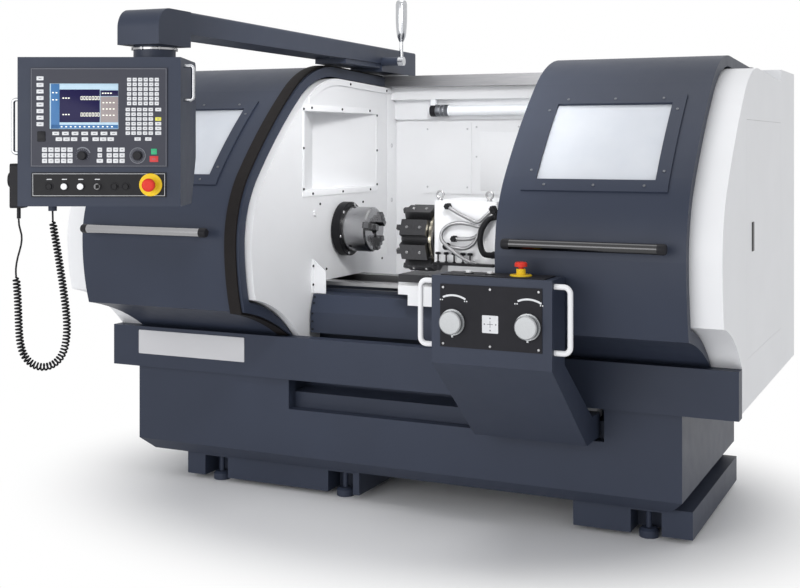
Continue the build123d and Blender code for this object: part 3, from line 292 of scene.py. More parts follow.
def chrome(name, color, rough):
    # Polished tube: faint long grain
    return metal(name, color, rough, (0.03, 1, 1), 90.0, 0.06, 0.02)


def turnedMetal(name, color, axis, rough=0.28):
    # Metal turned on a lathe: fine rings about an axis that runs along X
    material, tree, shader, coords = newMaterial(name)
    mapping = addNode(tree, "Mapping", {"Location": (0, -axis[0], -axis[1])}, {"Vector": coords})
    values = {"Scale": 160.0, "Distortion": 1.5, "Detail": 2.0}
    wave = addNode(tree, "TexWave", values, {"Vector": mapping.outputs["Vector"]})
    wave.wave_type = "RINGS"
    wave.rings_direction = "X"
    tinted(tree, shader, noiseOf(tree, coords, 7.0), shade(color, 0.95), shade(color, 1.05))
    roughened(tree, shader, wave.outputs["Fac"], rough - 0.06, rough + 0.08)
    bumped(tree, shader, wave.outputs["Fac"], 0.05, 0.0003)
    setSockets(shader, {"Metallic": 1.0})
    return material


def moulded(name, color, rough=0.4, grain=900.0, drift=0.06, gloss=0.12):
    # Moulded plastic or rubber: fine grain, little drift of tone
    material, tree, shader, coords = newMaterial(name)
    tinted(tree, shader, noiseOf(tree, coords, 25.0), shade(color, 1 - drift), shade(color, 1 + drift))
    roughened(tree, shader, noiseOf(tree, coords, 60.0), rough - 0.05, rough + 0.06)
    bumped(tree, shader, noiseOf(tree, coords, grain, 2.0), 0.1, 0.0003)
    setSockets(shader, {"Specular IOR Level": gloss})
    return material


def paneMaterial(name):
    # Clear safety pane with a faint haze of wiping marks
    material, tree, shader, coords = newMaterial(name)
    tinted(tree, shader, noiseOf(tree, coords, 5.0), (0.8, 0.84, 0.91), (0.88, 0.91, 0.96))
    roughened(tree, shader, noiseOf(tree, coords, 9.0, 3.0, (1, 3, 3)), 0.1, 0.26)
    setSockets(shader, {"Transmission Weight": 0.4, "IOR": 1.45})
    return material


def banded(name, split, low, high, rough=0.45, gloss=0.2, highMetal=False):
    # Two finishes on one piece, parted at a height in metres, with a fine grain over both
    material, tree, shader, coords = newMaterial(name)
    parts = addNode(tree, "SeparateXYZ", {}, {"Vector": coords})
    limits = {"From Min": split - 0.0005, "From Max": split + 0.0005}
    step = addNode(tree, "MapRange", limits, {"Value": parts.outputs["Z"]}).outputs["Result"]
    tinted(tree, shader, step, low, high)
    if highMetal:
        tree.links.new(step, shader.inputs["Metallic"])
    roughened(tree, shader, noiseOf(tree, coords, 40.0), rough - 0.06, rough + 0.06)
    bumped(tree, shader, noiseOf(tree, coords, 500.0, 2.0), 0.1, 0.0004)
    setSockets(shader, {"Specular IOR Level": gloss})
    return material


def glowing(name, color, strength):
    # A faintly lit face with little shine
    material, tree, shader, coords = newMaterial(name)
    tinted(tree, shader, noiseOf(tree, coords, 30.0), shade(color, 0.94), color)
    setSockets(shader, {"Emission Color": (*color, 1), "Emission Strength": strength})
    setSockets(shader, {"Specular IOR Level": 0.1, "Roughness": 0.25})
    return material


finish = {material.name: material for material in (
    enamel("darkPaint", (0.031, 0.039, 0.063), 0.46, gloss=0.25),
    enamel("whitePaint", (0.83, 0.835, 0.85), 0.42, drift=0.02, gloss=0.35),
    enamel("greyPaint", (0.55, 0.55, 0.57), 0.42, drift=0.03),
    enamel("platePale", (0.6, 0.6, 0.62), 0.4, drift=0.02),
    banded("bezelPlate", 1.475, (0.01, 0.01, 0.012), (0.048, 0.05, 0.066)),
    banded("saddlePaint", 0.9545, (0.8, 0.805, 0.82), (0.05, 0.05, 0.055)),
    banded("bedIron", 0.9, (0.03, 0.036, 0.053), (0.3, 0.3, 0.305), 0.34, 0.2, True),
    metal("castIron", (0.22, 0.22, 0.225), 0.42, (0.05, 1, 1), 190.0),
    turnedMetal("chuckSteel", (0.38, 0.38, 0.39), (0.0, 1.163), 0.22),
    metal("jawSteel", (0.16, 0.16, 0.165), 0.2, (1, 0.2, 0.2), 200.0),
    metal("oxideSteel", (0.09, 0.09, 0.095), 0.34, (1, 0.3, 0.3), 240.0),
    metal("drawnAluminium", (0.3, 0.3, 0.31), 0.36, (0.04, 1, 1), 220.0),
    metal("knobAluminium", (0.36, 0.37, 0.38), 0.34, (1, 0.1, 1), 300.0),
    chrome("darkChrome", (0.07, 0.07, 0.072), 0.16),
    chrome("brightChrome", (0.5, 0.51, 0.53), 0.18),
    chrome("pullSteel", (0.36, 0.36, 0.37), 0.2),
    metal("screwSteel", (0.42, 0.42, 0.43), 0.3),
    metal("capGrey", (0.2, 0.21, 0.23), 0.42),
    metal("bandSteel", (0.4, 0.37, 0.3), 0.2),
    metal("cladHose", (0.36, 0.36, 0.37), 0.32, (1, 1, 1), 420.0),
    moulded("blackPlate", (0.018, 0.018, 0.022), 0.5),
    moulded("blackSteel", (0.012, 0.012, 0.014), 0.36, 500.0),
    moulded("sealRubber", (0.014, 0.012, 0.012), 0.66, 700.0, gloss=0.15),
    moulded("blackRubber", (0.015, 0.015, 0.017), 0.5, 700.0),
    moulded("blackPlastic", (0.02, 0.02, 0.023), 0.4),
    moulded("whiteKey", (0.7, 0.71, 0.73), 0.42, drift=0.03),
    moulded("whiteInk", (0.72, 0.73, 0.75), 0.5, drift=0.03),
    moulded("paleInk", (0.24, 0.25, 0.28), 0.5, drift=0.03),
    moulded("greyInk", (0.2, 0.2, 0.22), 0.5),
    moulded("stopYellow", (0.86, 0.58, 0.03), 0.32),
    moulded("stopRed", (0.68, 0.045, 0.03), 0.28),
    moulded("keyGreen", (0.05, 0.42, 0.2), 0.35),
    moulded("keyRed", (0.6, 0.06, 0.06), 0.35),
    moulded("keyYellow", (0.75, 0.7, 0.12), 0.35),
    paneMaterial("pane"),
    glowing("lampTube", (0.9, 0.92, 0.95), 0.15),
    glowing("screenNavy", (0.012, 0.01, 0.05), 0.3),
    glowing("screenBlue", (0.06, 0.16, 0.34), 0.25),
    glowing("screenPale", (0.42, 0.56, 0.66), 0.25),
    glowing("screenGrey", (0.3, 0.26, 0.26), 0.2),
    glowing("screenInk", (0.85, 0.85, 0.75), 0.5),
)}
nodeFinish = {
    "darkPaint": "base_stand levelling_pads front_sill screw_guard left_door right_door apron_box "
                 "pendant_arm arm_head pendant_case",
    "whitePaint": "headstock_cover headstock_wall right_cover rear_wall rear_cabinet service_door "
                  "cross_slide turret_housing apron_handles apron_start_button apron_hold_button "
                  "pendant_button_1 pendant_button_2",
    "castIron": "headstock",
    "bedIron": "bed",
    "saddlePaint": "saddle",
    "drawnAluminium": "top_rail",
    "pullSteel": "left_door_pull",
    "brightChrome": "clamp_lever pendant_handles",
    "darkChrome": "right_door_pull key_switch",
    "lampTube": "work_lamp",
    "pane": "left_door_window right_door_window",
    "sealRubber": "left_door_seal",
    "chuckSteel": "chuck_body",
    "jawSteel": "chuck_jaw_1 chuck_jaw_2 chuck_jaw_3",
    "blackSteel": "spindle chuck_backplate service_latch",
    "oxideSteel": "turret_disc turret_tools",
    "blackPlate": "apron_panels",
    "bezelPlate": "pendant_panel",
    "knobAluminium": "z_handwheel x_handwheel",
    "stopYellow": "apron_stop_ring pendant_stop_ring",
    "stopRed": "apron_stop_button pendant_stop_button",
    "blackPlastic": "feed_dial spindle_dial handheld_box handheld_dial",
    "cladHose": "coolant_hoses",
    "blackRubber": "cord_coil cord_tail",
}
for tone, members in nodeFinish.items():
    for member in members.split():
        mesh = nodes[member].data
        mesh.materials.clear()
        mesh.materials.append(finish[tone])
        mesh.polygons.foreach_set("material_index", np.zeros(len(mesh.polygons), int))
print("finishes set on", sum(len(m.split()) for m in nodeFinish.values()), "nodes")


# Camera at the photograph's viewing angle

cameraSet = {"place": (2.264, -5.212, 1.569), "turn": 25.1, "lens": 55.62, "sensor": 36.0, "shift": -0.18875}
cameraData = bpy.data.cameras.new("camera")
cameraData.lens = cameraSet["lens"]
cameraData.sensor_width = cameraSet["sensor"]
cameraData.sensor_fit = "HORIZONTAL"
cameraData.shift_y = cameraSet["shift"]
camera = bpy.data.objects.new("camera", cameraData)
camera.location = cameraSet["place"]
camera.rotation_euler = (math.radians(90), 0, math.radians(cameraSet["turn"]))
bpy.context.scene.collection.objects.link(camera)
bpy.context.scene.camera = camera


# Pendant's own directions, read from its joints

swivelPoint = np.array(joints["pendant_swivel"]["pos_m"])
swivelFoot = swivelPoint * (1, 1, 0)
pendantIn = unit(joints["pendant_stop_press"]["axis"])
pendantOut = -pendantIn
pendantSide = unit(np.cross(pendantIn, (0, 0, 1)))
feedPoint = np.array(joints["feed_dial_turn"]["pos_m"])


# Curly cord from the pendant's gland to the handheld unit

cordSet = {
    "depth": 35.0, "coilRadius": 11.2, "cordRadius": 3.3, "pitch": 12.5, "lead": 34.0, "perTurn": 14,
    "swellTurns": 1.2, "leadShares": (0.0, 0.35, 0.7),
    "coilRoute": (
        (-357.0, 1327.0), (-357.0, 1283.0), (-346.0, 1225.0), (-334.0, 1150.0), (-322.0, 1072.0),
        (-311.0, 992.0), (-305.0, 925.0), (-307.0, 867.0), (-320.0, 815.0), (-350.0, 780.0),
        (-391.0, 767.0), (-433.0, 780.0), (-463.0, 815.0), (-475.0, 868.0), (-478.0, 932.0),
        (-481.0, 1015.0), (-487.0, 1093.0),
    ),
    "tailRoute": (
        (-489.0, 1119.0), (-482.0, 1162.0), (-468.0, 1205.0), (-466.0, 1243.0), (-478.0, 1274.0),
        (-478.0, 1300.0),
    ),
}


def cordPoints(route):
    # Route points seen from the pendant's front: sideways from the swivel axis, and height
    flat = np.array(route) * mm
    base = swivelFoot + pendantOut * cordSet["depth"] * mm
    return base + flat[:, :1] * pendantSide + flat[:, 1:] * np.array([0, 0, 1])


def splineCurve(name, points, bevel, resolution=12):
    # One open curve with the points as its control points, smooth between them
    curve = bpy.data.curves.new(name, "CURVE")
    curve.dimensions = "3D"
    curve.resolution_u = resolution
    spline = curve.splines.new("NURBS")
    spline.points.add(len(points) - 1)
    spline.points.foreach_set("co", np.c_[points, np.ones(len(points))].ravel())
    spline.order_u = 3
    spline.use_endpoint_u = True
    curve.bevel_depth = bevel
    curve.bevel_resolution = 3
    curve.use_fill_caps = True
    obj = bpy.data.objects.new(name, curve)
    bpy.context.scene.collection.objects.link(obj)
    return obj


def linePoints(points):
    # The smooth line of a route, read back from its own spline
    guide = splineCurve("guide", points, 0.0)
    mesh = bpy.data.meshes.new_from_object(guide)
    line = cornersOf(mesh)
    bpy.data.objects.remove(guide)
    bpy.data.meshes.remove(mesh)
    return line


def curlyCord():
    # A helix about the route's line: its radius swells from nothing after the lead and dies away at the tail
    route = cordPoints(cordSet["coilRoute"] + cordSet["tailRoute"])
    coilCount = len(cordSet["coilRoute"])
    line = linePoints(route)
    coilEnd = runOf(line)[np.argmin(np.linalg.norm(line - route[coilCount - 1], axis=1))]
    lead, pitch = cordSet["lead"] * mm, cordSet["pitch"] * mm
    turns = (coilEnd - lead) / pitch
    s = np.linspace(lead, coilEnd, int(turns * cordSet["perTurn"]))
    centre = alongLine(line, s)
    side = np.broadcast_to(pendantOut, centre.shape)
    over = np.cross(units(np.gradient(centre, axis=0)), side)
    swell = np.clip(np.minimum(s - lead, coilEnd - s) / (cordSet["swellTurns"] * pitch), 0, 1)
    reach = (cordSet["coilRadius"] * mm * swell * swell * (3 - 2 * swell))[:, None]
    angle = (2 * math.pi * (s - lead) / pitch)[:, None]
    helix = centre + reach * (np.cos(angle) * side + np.sin(angle) * over)
    start = route[:1] + (centre[:1] - route[:1]) * np.array(cordSet["leadShares"])[:, None]
    points = np.vstack([start, helix, route[coilCount:]])
    cord = splineCurve("curlyCord", points, cordSet["cordRadius"] * mm, 2)
    cord.data.materials.append(finish["blackRubber"])
    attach(cord, "pendant")
    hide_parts("cord_coil", "cord_tail")
    length = float(runOf(linePoints(points))[-1])
    print("curly cord", round(length, 2), "m in", round(turns), "turns")


curlyCord()


# Seats: rays cast on the solids' own surfaces

surfaces = {}


def seated(nodeName, start, way):
    # Where a ray first meets a node: a place whose z points back out of its surface
    if nodeName not in surfaces:
        mesh = nodes[nodeName].data
        faces = [tuple(face.vertices) for face in mesh.polygons]
        surfaces[nodeName] = BVHTree.FromPolygons(cornersOf(mesh).tolist(), faces)
    hit, normal = surfaces[nodeName].ray_cast(Vector(start), Vector(way))[:2]
    out = np.array(normal) * (-1 if np.dot(normal, way) > 0 else 1)
    return placeAt(np.array(hit), (1, 0, 0), out)


headSet = {"profile": ((1, -0.1), (1, 0.28), (0.8, 0.55), (0.42, 0.55), (0.36, 0.2), (0, 0.2)), "sides": 14}


def screwHead(place, radius):
    # A low round head with a socket: a profile in shares of its radius, turned about z
    return revolved(place, np.array(headSet["profile"]) * radius, headSet["sides"])


def ringOf(place, inner, outer, height, edgeShare=0.35, sides=32):
    # A flat ring with a sloped outer edge, hollow in the middle
    edge = min(height, outer - inner) * edgeShare
    profile = ((inner, 0), (outer, 0), (outer, height - edge), (outer - edge, height), (inner, height))
    return revolved(place, profile, sides, hollow=True)


def frontPlate(xs, y, zs, depth, corner=2.0):
    # A plate that faces the front, between two sides and two heights
    place = facingFront(sum(xs) / 2, y, sum(zs) / 2)
    return plate(place, xs[1] - xs[0], zs[1] - zs[0], depth, corner)


def inkMark(place, width, height, ink, corner=None):
    # A printed mark: a plate as thin as its ink
    return plate(place, width, height, ink, ink if corner is None else corner, ink / 3)


# Door windows: screws round the borders

windowSet = {
    "shoulder": (-760.0, 1442.0), "brow": (-390.0, 1806.0), "rise": 185.0,
    "middles": {"left": -941.5, "right": 977.5}, "row": 190.0, "rowOff": 226.0, "side": 253.0,
    "sideRise": 160.0, "radius": 5.5, "start": 150.0,
}


def windowScrews(which):
    # Heads round a window: three along its upper and lower borders and two down each side, seated by rays
    # cast square to the slope between the skin's shoulder and brow
    low, high = point(0, *windowSet["shoulder"]), point(0, *windowSet["brow"])
    way = unit(high - low)
    out = np.array([0, -way[2], way[1]])
    row, rowOff, side, sideRise = (windowSet[k] for k in ("row", "rowOff", "side", "sideRise"))
    spots = [(x, y) for x in (-row, 0, row) for y in (rowOff, -rowOff)]
    spots += [(x, y) for x in (-side, side) for y in (sideRise, -sideRise)]
    shapes = []
    for x, y in spots:
        start = low + way * (windowSet["rise"] + y) * mm + out * windowSet["start"] * mm
        start[0] = (windowSet["middles"][which] + x) * mm
        shapes.append(screwHead(seated(which + "_door", start, -out), windowSet["radius"]))
    addPiece(which + "WindowScrews", shapes, "capGrey", which + "_door")


windowScrews("left")
windowScrews("right")

pullSet = {
    "y": -923.0, "z": 1197.0, "inner": 18.0, "outer": 20.2, "length": 24.0, "crown": 7.0, "crownShare": 0.8,
    "left": (-1266.0, -636.0), "right": (676.0, 1272.0),
}


def pullCaps(which):
    # A black cap over each end of a pull tube: a profile turned about the tube's axis
    outer, length = pullSet["outer"], pullSet["length"]
    crown, crownRadius = length + pullSet["crown"], outer * pullSet["crownShare"]
    profile = ((pullSet["inner"], 0), (outer, 0), (outer, length), (crownRadius, crown), (0, crown))
    shapes = []
    for end, way in zip(pullSet[which], (-1, 1)):
        place = placeAt(point(end - way * length, pullSet["y"], pullSet["z"]), (0, 1, 0), (way, 0, 0))
        shapes.append(revolved(place, profile))
    addPiece(which + "PullCaps", shapes, "blackPlastic", which + "_door")


pullCaps("left")
pullCaps("right")

sillSet = {"x": (-1305.0, -725.0), "z": (584.0, 694.0), "y": -480.0, "depth": 2.0, "corner": 4.0}


def sillPlate():
    # The bare light plate on the sill's front
    shape = frontPlate(sillSet["x"], sillSet["y"], sillSet["z"], sillSet["depth"], sillSet["corner"])
    addPiece("sillPlate", [shape], "platePale", "base")


sillPlate()
print("door and sill fittings made")


# Wall beside the headstock

wallSet = {
    "face": -480.0, "sheet": 2.0, "panY": (-367.0, 359.0), "panZ": (1354.0, 1714.0), "panSide": 18.0,
    "panEnd": 28.0, "radius": 6.0, "plug": (6.0, 11.0, 2.0),
    "panScrews": (
        (-376, 1722), (-302, 1729), (-6, 1729), (288, 1729), (368, 1707), (368, 1532), (368, 1362),
        (294, 1339), (1, 1339), (-292, 1339), (-376, 1362), (-376, 1546),
    ),
    "screws": ((-221, 1289), (216, 1280), (-160, 985), (430, 985)),
    "stripY": (493.0, 598.0), "stripZ": (1000.0, 1820.0), "stripSpots": ((540, 1556), (540, 1276)),
    "flangeY": (-330.0, 596.0), "flangeSteps": 30, "flangeInset": 3.0, "flangeAbove": 2300.0,
    "flangeHeight": 28.0, "flangeEdge": 3.0, "flangeDepth": 7.0, "flangeScrews": (70.0, 470.0),
}


def wallPlate(y0, y1, z0, z1):
    # A sheet on the wall, between two depths and two heights
    place = facingRight(wallSet["face"], (y0 + y1) / 2, (z0 + z1) / 2)
    return plate(place, y1 - y0, z1 - z0, wallSet["sheet"])


def wallHeads(spots, lift=0.0):
    # Screw heads on the wall, or on something that stands out from it
    return [screwHead(facingRight(wallSet["face"] + lift, y, z), wallSet["radius"]) for y, z in spots]


def roofFlange():
    # A strip under the wall's upper edge: a small rectangle carried along the edge that rays find from above
    near, height = wallSet["face"], wallSet["flangeHeight"]
    far = near + wallSet["flangeDepth"]
    rows, seats = [], []
    for y in np.linspace(*wallSet["flangeY"], wallSet["flangeSteps"]):
        start = point(near - wallSet["flangeInset"], y, wallSet["flangeAbove"])
        top = seated("headstock_wall", start, (0, 0, -1))[0][2] / mm - wallSet["flangeEdge"]
        rows.append([(near, y, top - height), (near, y, top), (far, y, top), (far, y, top - height)])
        seats.append((y, top))
    spots = [(y, np.interp(y, *np.array(seats).T) - height / 2) for y in wallSet["flangeScrews"]]
    return stacked(np.array(rows) * mm), spots


def wallFittings():
    # Four strips framing the pan, one strip by the rear edge and the roof flange, with screws and plugs
    (y0, y1), (z0, z1) = wallSet["panY"], wallSet["panZ"]
    side, end, sheet = wallSet["panSide"], wallSet["panEnd"], wallSet["sheet"]
    flange, flangeSpots = roofFlange()
    frameShapes = [
        wallPlate(y0 - side, y1 + side, z1, z1 + end), wallPlate(y0 - side, y1 + side, z0 - end, z0),
        wallPlate(y0 - side, y0, z0, z1), wallPlate(y1, y1 + side, z0, z1),
        wallPlate(*wallSet["stripY"], *wallSet["stripZ"]), flange,
    ]
    addPiece("wallFrame", frameShapes, "whitePaint", "base")
    heads = wallHeads(wallSet["panScrews"], sheet) + wallHeads(wallSet["screws"])
    heads += wallHeads(flangeSpots, wallSet["flangeDepth"])
    addPiece("wallScrews", heads, "blackSteel", "base")
    seats = [facingRight(wallSet["face"] + sheet, y, z) for y, z in wallSet["stripSpots"]]
    addPiece("wallPlugs", [ringOf(seat, *wallSet["plug"]) for seat in seats], "greyPaint", "base")


gussetSet = {
    "y": (-281.0, -277.0), "outline": ((-479.5, 886.0), (-418.0, 886.0), (-418.0, 985.0), (-479.5, 1035.0)),
    "flange": (-301.0, -277.0, 886.0, 1040.0), "spots": ((-290, 1010), (-290, 925)),
    "guardStart": (-460, -600), "guardHeights": (872, 846, 800, 765, 730), "guardRadius": 5.0,
}


def gusset():
    # A folded plate that stands off the wall over the guard's end: its outline pushed along Y
    rows = [[(x, y, z) for x, z in gussetSet["outline"][::-1]] for y in gussetSet["y"]]
    shapes = [stacked(np.array(rows) * mm), wallPlate(*gussetSet["flange"])]
    addPiece("gusset", shapes, "whitePaint", "base")
    heads = wallHeads(gussetSet["spots"], wallSet["sheet"])
    for z in gussetSet["guardHeights"]:
        seat = seated("screw_guard", point(*gussetSet["guardStart"], z), (0, 1, 0))
        heads.append(screwHead(seat, gussetSet["guardRadius"]))
    addPiece("gussetScrews", heads, "blackSteel", "base")


wallFittings()
gusset()

rearSet = {
    "y": 595.0, "x": (-8.0, 200.0), "z": (1330.0, 1622.0), "sheet": 2.0, "radius": 5.0,
    "screws": ((-30, 1650), (-30, 1500), (195, 1650), (-300, 1640), (-80, 1640), (-300, 1345), (-80, 1345)),
}


def rearPanels():
    # The inner plate of the second rear panel, and the screws that hold both
    inner = frontPlate(rearSet["x"], rearSet["y"], rearSet["z"], rearSet["sheet"])
    addPiece("rearPlate", [inner], "whitePaint", "base")
    heads = [screwHead(facingFront(x, rearSet["y"], z), rearSet["radius"]) for x, z in rearSet["screws"]]
    addPiece("rearScrews", heads, "greyPaint", "base")


rearPanels()

lampSet = {
    "y": 550.7, "z": 1732.8, "ends": (-258.0, 372.0), "black": 30.0, "cap": 98.0, "inner": 28.6,
    "outer": 29.8, "grooves": (52, 72), "groove": ((0.0, 0), (0.7, 1), (0.7, 4), (0.0, 5)), "sides": 32,
    "ringOver": 0.3, "ringGap": 0.5,
}


def lampCaps():
    # Grey sleeves over the lamp's end caps with two grooves, and a black ring at the very end
    black, cap, inner, outer = (lampSet[k] for k in ("black", "cap", "inner", "outer"))
    groove = lampSet["groove"]
    grooves = [(outer - depth, start + step) for start in lampSet["grooves"] for depth, step in groove]
    sleeve = [(inner, black), (outer, black), *grooves, (outer, cap), (inner, cap)]
    greys, blacks = [], []
    for end, way in zip(lampSet["ends"], (1, -1)):
        place = placeAt(point(end, lampSet["y"], lampSet["z"]), (0, 1, 0), (way, 0, 0))
        greys.append(revolved(place, sleeve, lampSet["sides"], hollow=True))
        blacks.append(ringOf(place, inner, outer + lampSet["ringOver"], black - lampSet["ringGap"]))
    addPiece("lampSleeves", greys, "capGrey", "base")
    addPiece("lampEnds", blacks, "blackPlastic", "base")


lampCaps()
print("wall, rear and lamp fittings made")


# Turret housing: eye bolts, hoses and hand valves

housingSet = {"front": -400.0, "top": 1325.6, "bottom": 1053.6}
boltSet = {
    "x": (190.0, 414.0), "y": -380.0, "ring": 15.0, "wire": 4.6, "rise": 9.0, "steps": 28,
    "collar": ((12, -0.3), (12, 3), (8, 6), (6, 11), (0, 11)),
}


def eyeBolts():
    # A turned collar under a ring whose middle line is a circle facing the front
    shapes = []
    turn = np.linspace(0, 2 * math.pi, boltSet["steps"], endpoint=False)[:, None]
    circle = boltSet["ring"] * mm * (np.cos(turn) * (1, 0, 0) + np.sin(turn) * (0, 0, 1))
    for x in boltSet["x"]:
        base = facingUp(x, boltSet["y"], housingSet["top"])
        shapes.append(revolved(base, boltSet["collar"]))
        centre = base[0] + point(0, 0, boltSet["rise"] + boltSet["ring"])
        shapes.append(tube(centre + circle, boltSet["wire"], wrap=True))
    addPiece("eyeBolts", shapes, "screwSteel", "cross_slide")


valveSet = {
    "x": (196.0, 233.0, 269.0, 309.0, 341.0), "stripX": (176.0, 448.0), "stripHeight": 11.0,
    "stripReach": 30.0, "lift": 1.0, "reachShare": 0.6, "rise": 33.0, "stemSides": 14, "headSides": 32,
    "lobes": 4, "swell": 0.22,
    "stem": ((7, 0), (7, 4), (3.4, 6), (3.4, 33), (6, 34)),
    "head": ((7, 0), (10, 2), (10, 8), (7, 11), (0, 11)),
}


def handValves():
    # A black strip along the housing's foot, and five stems with lobed heads that stand on it
    front, low = housingSet["front"], housingSet["bottom"] + valveSet["lift"]
    reach, height = valveSet["stripReach"], valveSet["stripHeight"]
    x0, x1 = valveSet["stripX"]
    shapes = [plate(facingUp((x0 + x1) / 2, front - reach / 2, low), x1 - x0, reach, height)]
    lobed = [valveSet[k] for k in ("head", "headSides", "lobes", "swell")]
    for x in valveSet["x"]:
        place = facingUp(x, front - reach * valveSet["reachShare"], low + height)
        shapes.append(revolved(place, valveSet["stem"], valveSet["stemSides"]))
        shapes.append(revolved(moved(place, z=valveSet["rise"]), *lobed))
    addPiece("handValves", shapes, "blackSteel", "cross_slide")


hoseSet = {
    "radius": 7.6, "rib": 0.55, "pitch": 5.2, "ribSteps": 5, "cladSteps": 400, "cladSharp": 60,
    "clad": (
        ((237, -412, 1302), (262, -424, 1290), (293, -426, 1274), (349, -426, 1249), (381, -426, 1241),
         (412, -424, 1266), (440, -412, 1296)),
        ((446, -410, 1288), (418, -420, 1252), (385, -418, 1222), (341, -416, 1229), (293, -416, 1233),
         (249, -418, 1225), (219, -424, 1200), (216, -430, 1167), (245, -440, 1138), (293, -446, 1106),
         (341, -440, 1078), (366, -422, 1068)),
        ((232, -412, 1133), (269, -418, 1130), (321, -424, 1129), (365, -436, 1153), (389, -442, 1194),
         (409, -442, 1236), (430, -430, 1262), (448, -412, 1276)),
        ((266, -412, 1166), (309, -416, 1166), (349, -420, 1171), (384, -424, 1190)),
    ),
    "blackRadius": 12.0, "blackSteps": 60, "blackSides": 16,
    "black": ((448, -412, 1262), (428, -440, 1250), (405, -452, 1206), (400, -452, 1154), (414, -446, 1112),
              (442, -424, 1104)),
    "fittings": ((237, 1302), (232, 1133), (266, 1166), (440, 1296), (446, 1284), (448, 1262), (442, 1104)),
    "fitting": ((15, -0.3), (15, 4), (12, 5), (12, 15), (14, 16), (14, 24), (10, 28), (0, 28)),
    "hexAbove": 1150, "hexSides": 6, "roundSides": 18,
}


def hoses():
    # Ribbed clad hoses: tubes whose radius rises and falls along their length; one thick plain hose,
    # and turned fittings, six-sided on the upper rows
    shapes, pitch = [], hoseSet["pitch"]
    for route in hoseSet["clad"]:
        line = smoothLine(route, hoseSet["cladSteps"])
        length = runOf(line)[-1] / mm
        even = np.linspace(0, length, int(length / pitch * hoseSet["ribSteps"]))
        radius = hoseSet["radius"] + hoseSet["rib"] * np.sin(2 * math.pi * even / pitch)
        shapes.append(tube(alongLine(line, even * mm), radius))
    clad = addPiece("cladHoses", shapes, "cladHose", "cross_slide", hoseSet["cladSharp"])
    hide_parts("coolant_hoses")
    thick = smoothLine(hoseSet["black"], hoseSet["blackSteps"])
    shapes = [tube(thick, hoseSet["blackRadius"], hoseSet["blackSides"])]
    for x, z in hoseSet["fittings"]:
        sides = hoseSet["hexSides"] if z > hoseSet["hexAbove"] else hoseSet["roundSides"]
        shapes.append(revolved(facingFront(x, housingSet["front"], z), hoseSet["fitting"], sides))
    addPiece("hoseFittings", shapes, "blackRubber", "cross_slide")


turretSet = {
    "axis": (-280.0, 1156.0), "face": 140.0, "first": 22.5, "stations": 8, "screwX": (46.0, 106.0),
    "radius": 7.0, "bandX": 138.0, "bandSides": 48,
    "band": ((100, 0), (113.4, 0), (114.6, 1.2), (114.6, 12), (113.4, 13), (100, 13)),
}


def turretFittings():
    # Two screws on every tool block, and a bright band round the disc behind the blocks
    y, z = turretSet["axis"]
    shapes = []
    for c, s in around(turretSet["first"], turretSet["stations"]):
        out = np.array([0, c, s])
        for x in turretSet["screwX"]:
            seat = placeAt(point(x, y, z) + out * turretSet["face"] * mm, (1, 0, 0), out)
            shapes.append(screwHead(seat, turretSet["radius"]))
    addPiece("blockScrews", shapes, "screwSteel", "turret")
    band = revolved(facingRight(turretSet["bandX"], y, z), turretSet["band"], turretSet["bandSides"])
    addPiece("turretBand", [band], "bandSteel", "turret")


chuckSet = {"face": -430.0, "z": 1163.0, "circle": 116.5, "count": 6, "first": 15.0, "radius": 7.5}


def chuckBolts():
    # Bolt heads at even angles on a circle round the back plate's face
    shapes = []
    for y, rise in chuckSet["circle"] * around(chuckSet["first"], chuckSet["count"]):
        shapes.append(screwHead(facingRight(chuckSet["face"], y, chuckSet["z"] + rise), chuckSet["radius"]))
    addPiece("chuckBolts", shapes, "screwSteel", "spindle")


eyeBolts()
handValves()
hoses()
turretFittings()
chuckBolts()
print("turret and chuck fittings made")


# Control box on the carriage

boxSet = {
    "face": -1034.0, "knobs": (521.0, 811.0), "knobZ": 914.0, "arc": (98.0, 7.0, 60.0, 114.0), "ink": 0.7,
    "marks": ((-50, 80), (-42, 80), (46, 78), (54, 78)), "markSize": (4.5, 4.5),
    "square": (666.0, 62.0, 64.0), "corner": 3.0, "cross": (24.0, 2.0), "dots": 22.0,
    "dotSize": (5.0, 5.0), "dotTurn": 45.0,
    "screws": tuple((x, z) for x in (482, 666, 850) for z in (834, 1040)), "radius": 5.0,
    "top": 1086.0, "row": -956.0, "buttons": (552.0, 636.0), "ring": (13.0, 20.0, 3.0),
}


def boxMarks():
    # Arcs and marks round the knobs, the square field between them and its cross, screws and button rings
    shapes, ink, face = [], boxSet["ink"], boxSet["face"]
    for x in boxSet["knobs"]:
        centre = facingFront(x, face, boxSet["knobZ"])
        shapes.append(arcBand(centre, *boxSet["arc"], ink))
        shapes += [inkMark(moved(centre, dx, dz), *boxSet["markSize"], ink) for dx, dz in boxSet["marks"]]
    x, width, height = boxSet["square"]
    field = facingFront(x, face, boxSet["knobZ"])
    shapes.append(inkMark(field, width, height, ink, boxSet["corner"]))
    addPiece("boxMarks", shapes, "whiteInk", "carriage")
    field = moved(field, z=ink)
    bar, dots = boxSet["cross"], boxSet["dots"]
    cross = [inkMark(field, *bar, ink), inkMark(field, *bar[::-1], ink)]
    for dx, dz in ((-dots, 0), (dots, 0), (0, -dots), (0, dots)):
        cross.append(inkMark(turned(moved(field, dx, dz), boxSet["dotTurn"]), *boxSet["dotSize"], ink))
    addPiece("boxCross", cross, "greyInk", "carriage")
    heads = [screwHead(facingFront(x, face, z), boxSet["radius"]) for x, z in boxSet["screws"]]
    addPiece("boxScrews", heads, "screwSteel", "carriage")
    rings = [ringOf(facingUp(x, boxSet["row"], boxSet["top"]), *boxSet["ring"]) for x in boxSet["buttons"]]
    addPiece("boxRings", rings, "blackPlastic", "carriage")


boxMarks()
print("control box marks made")


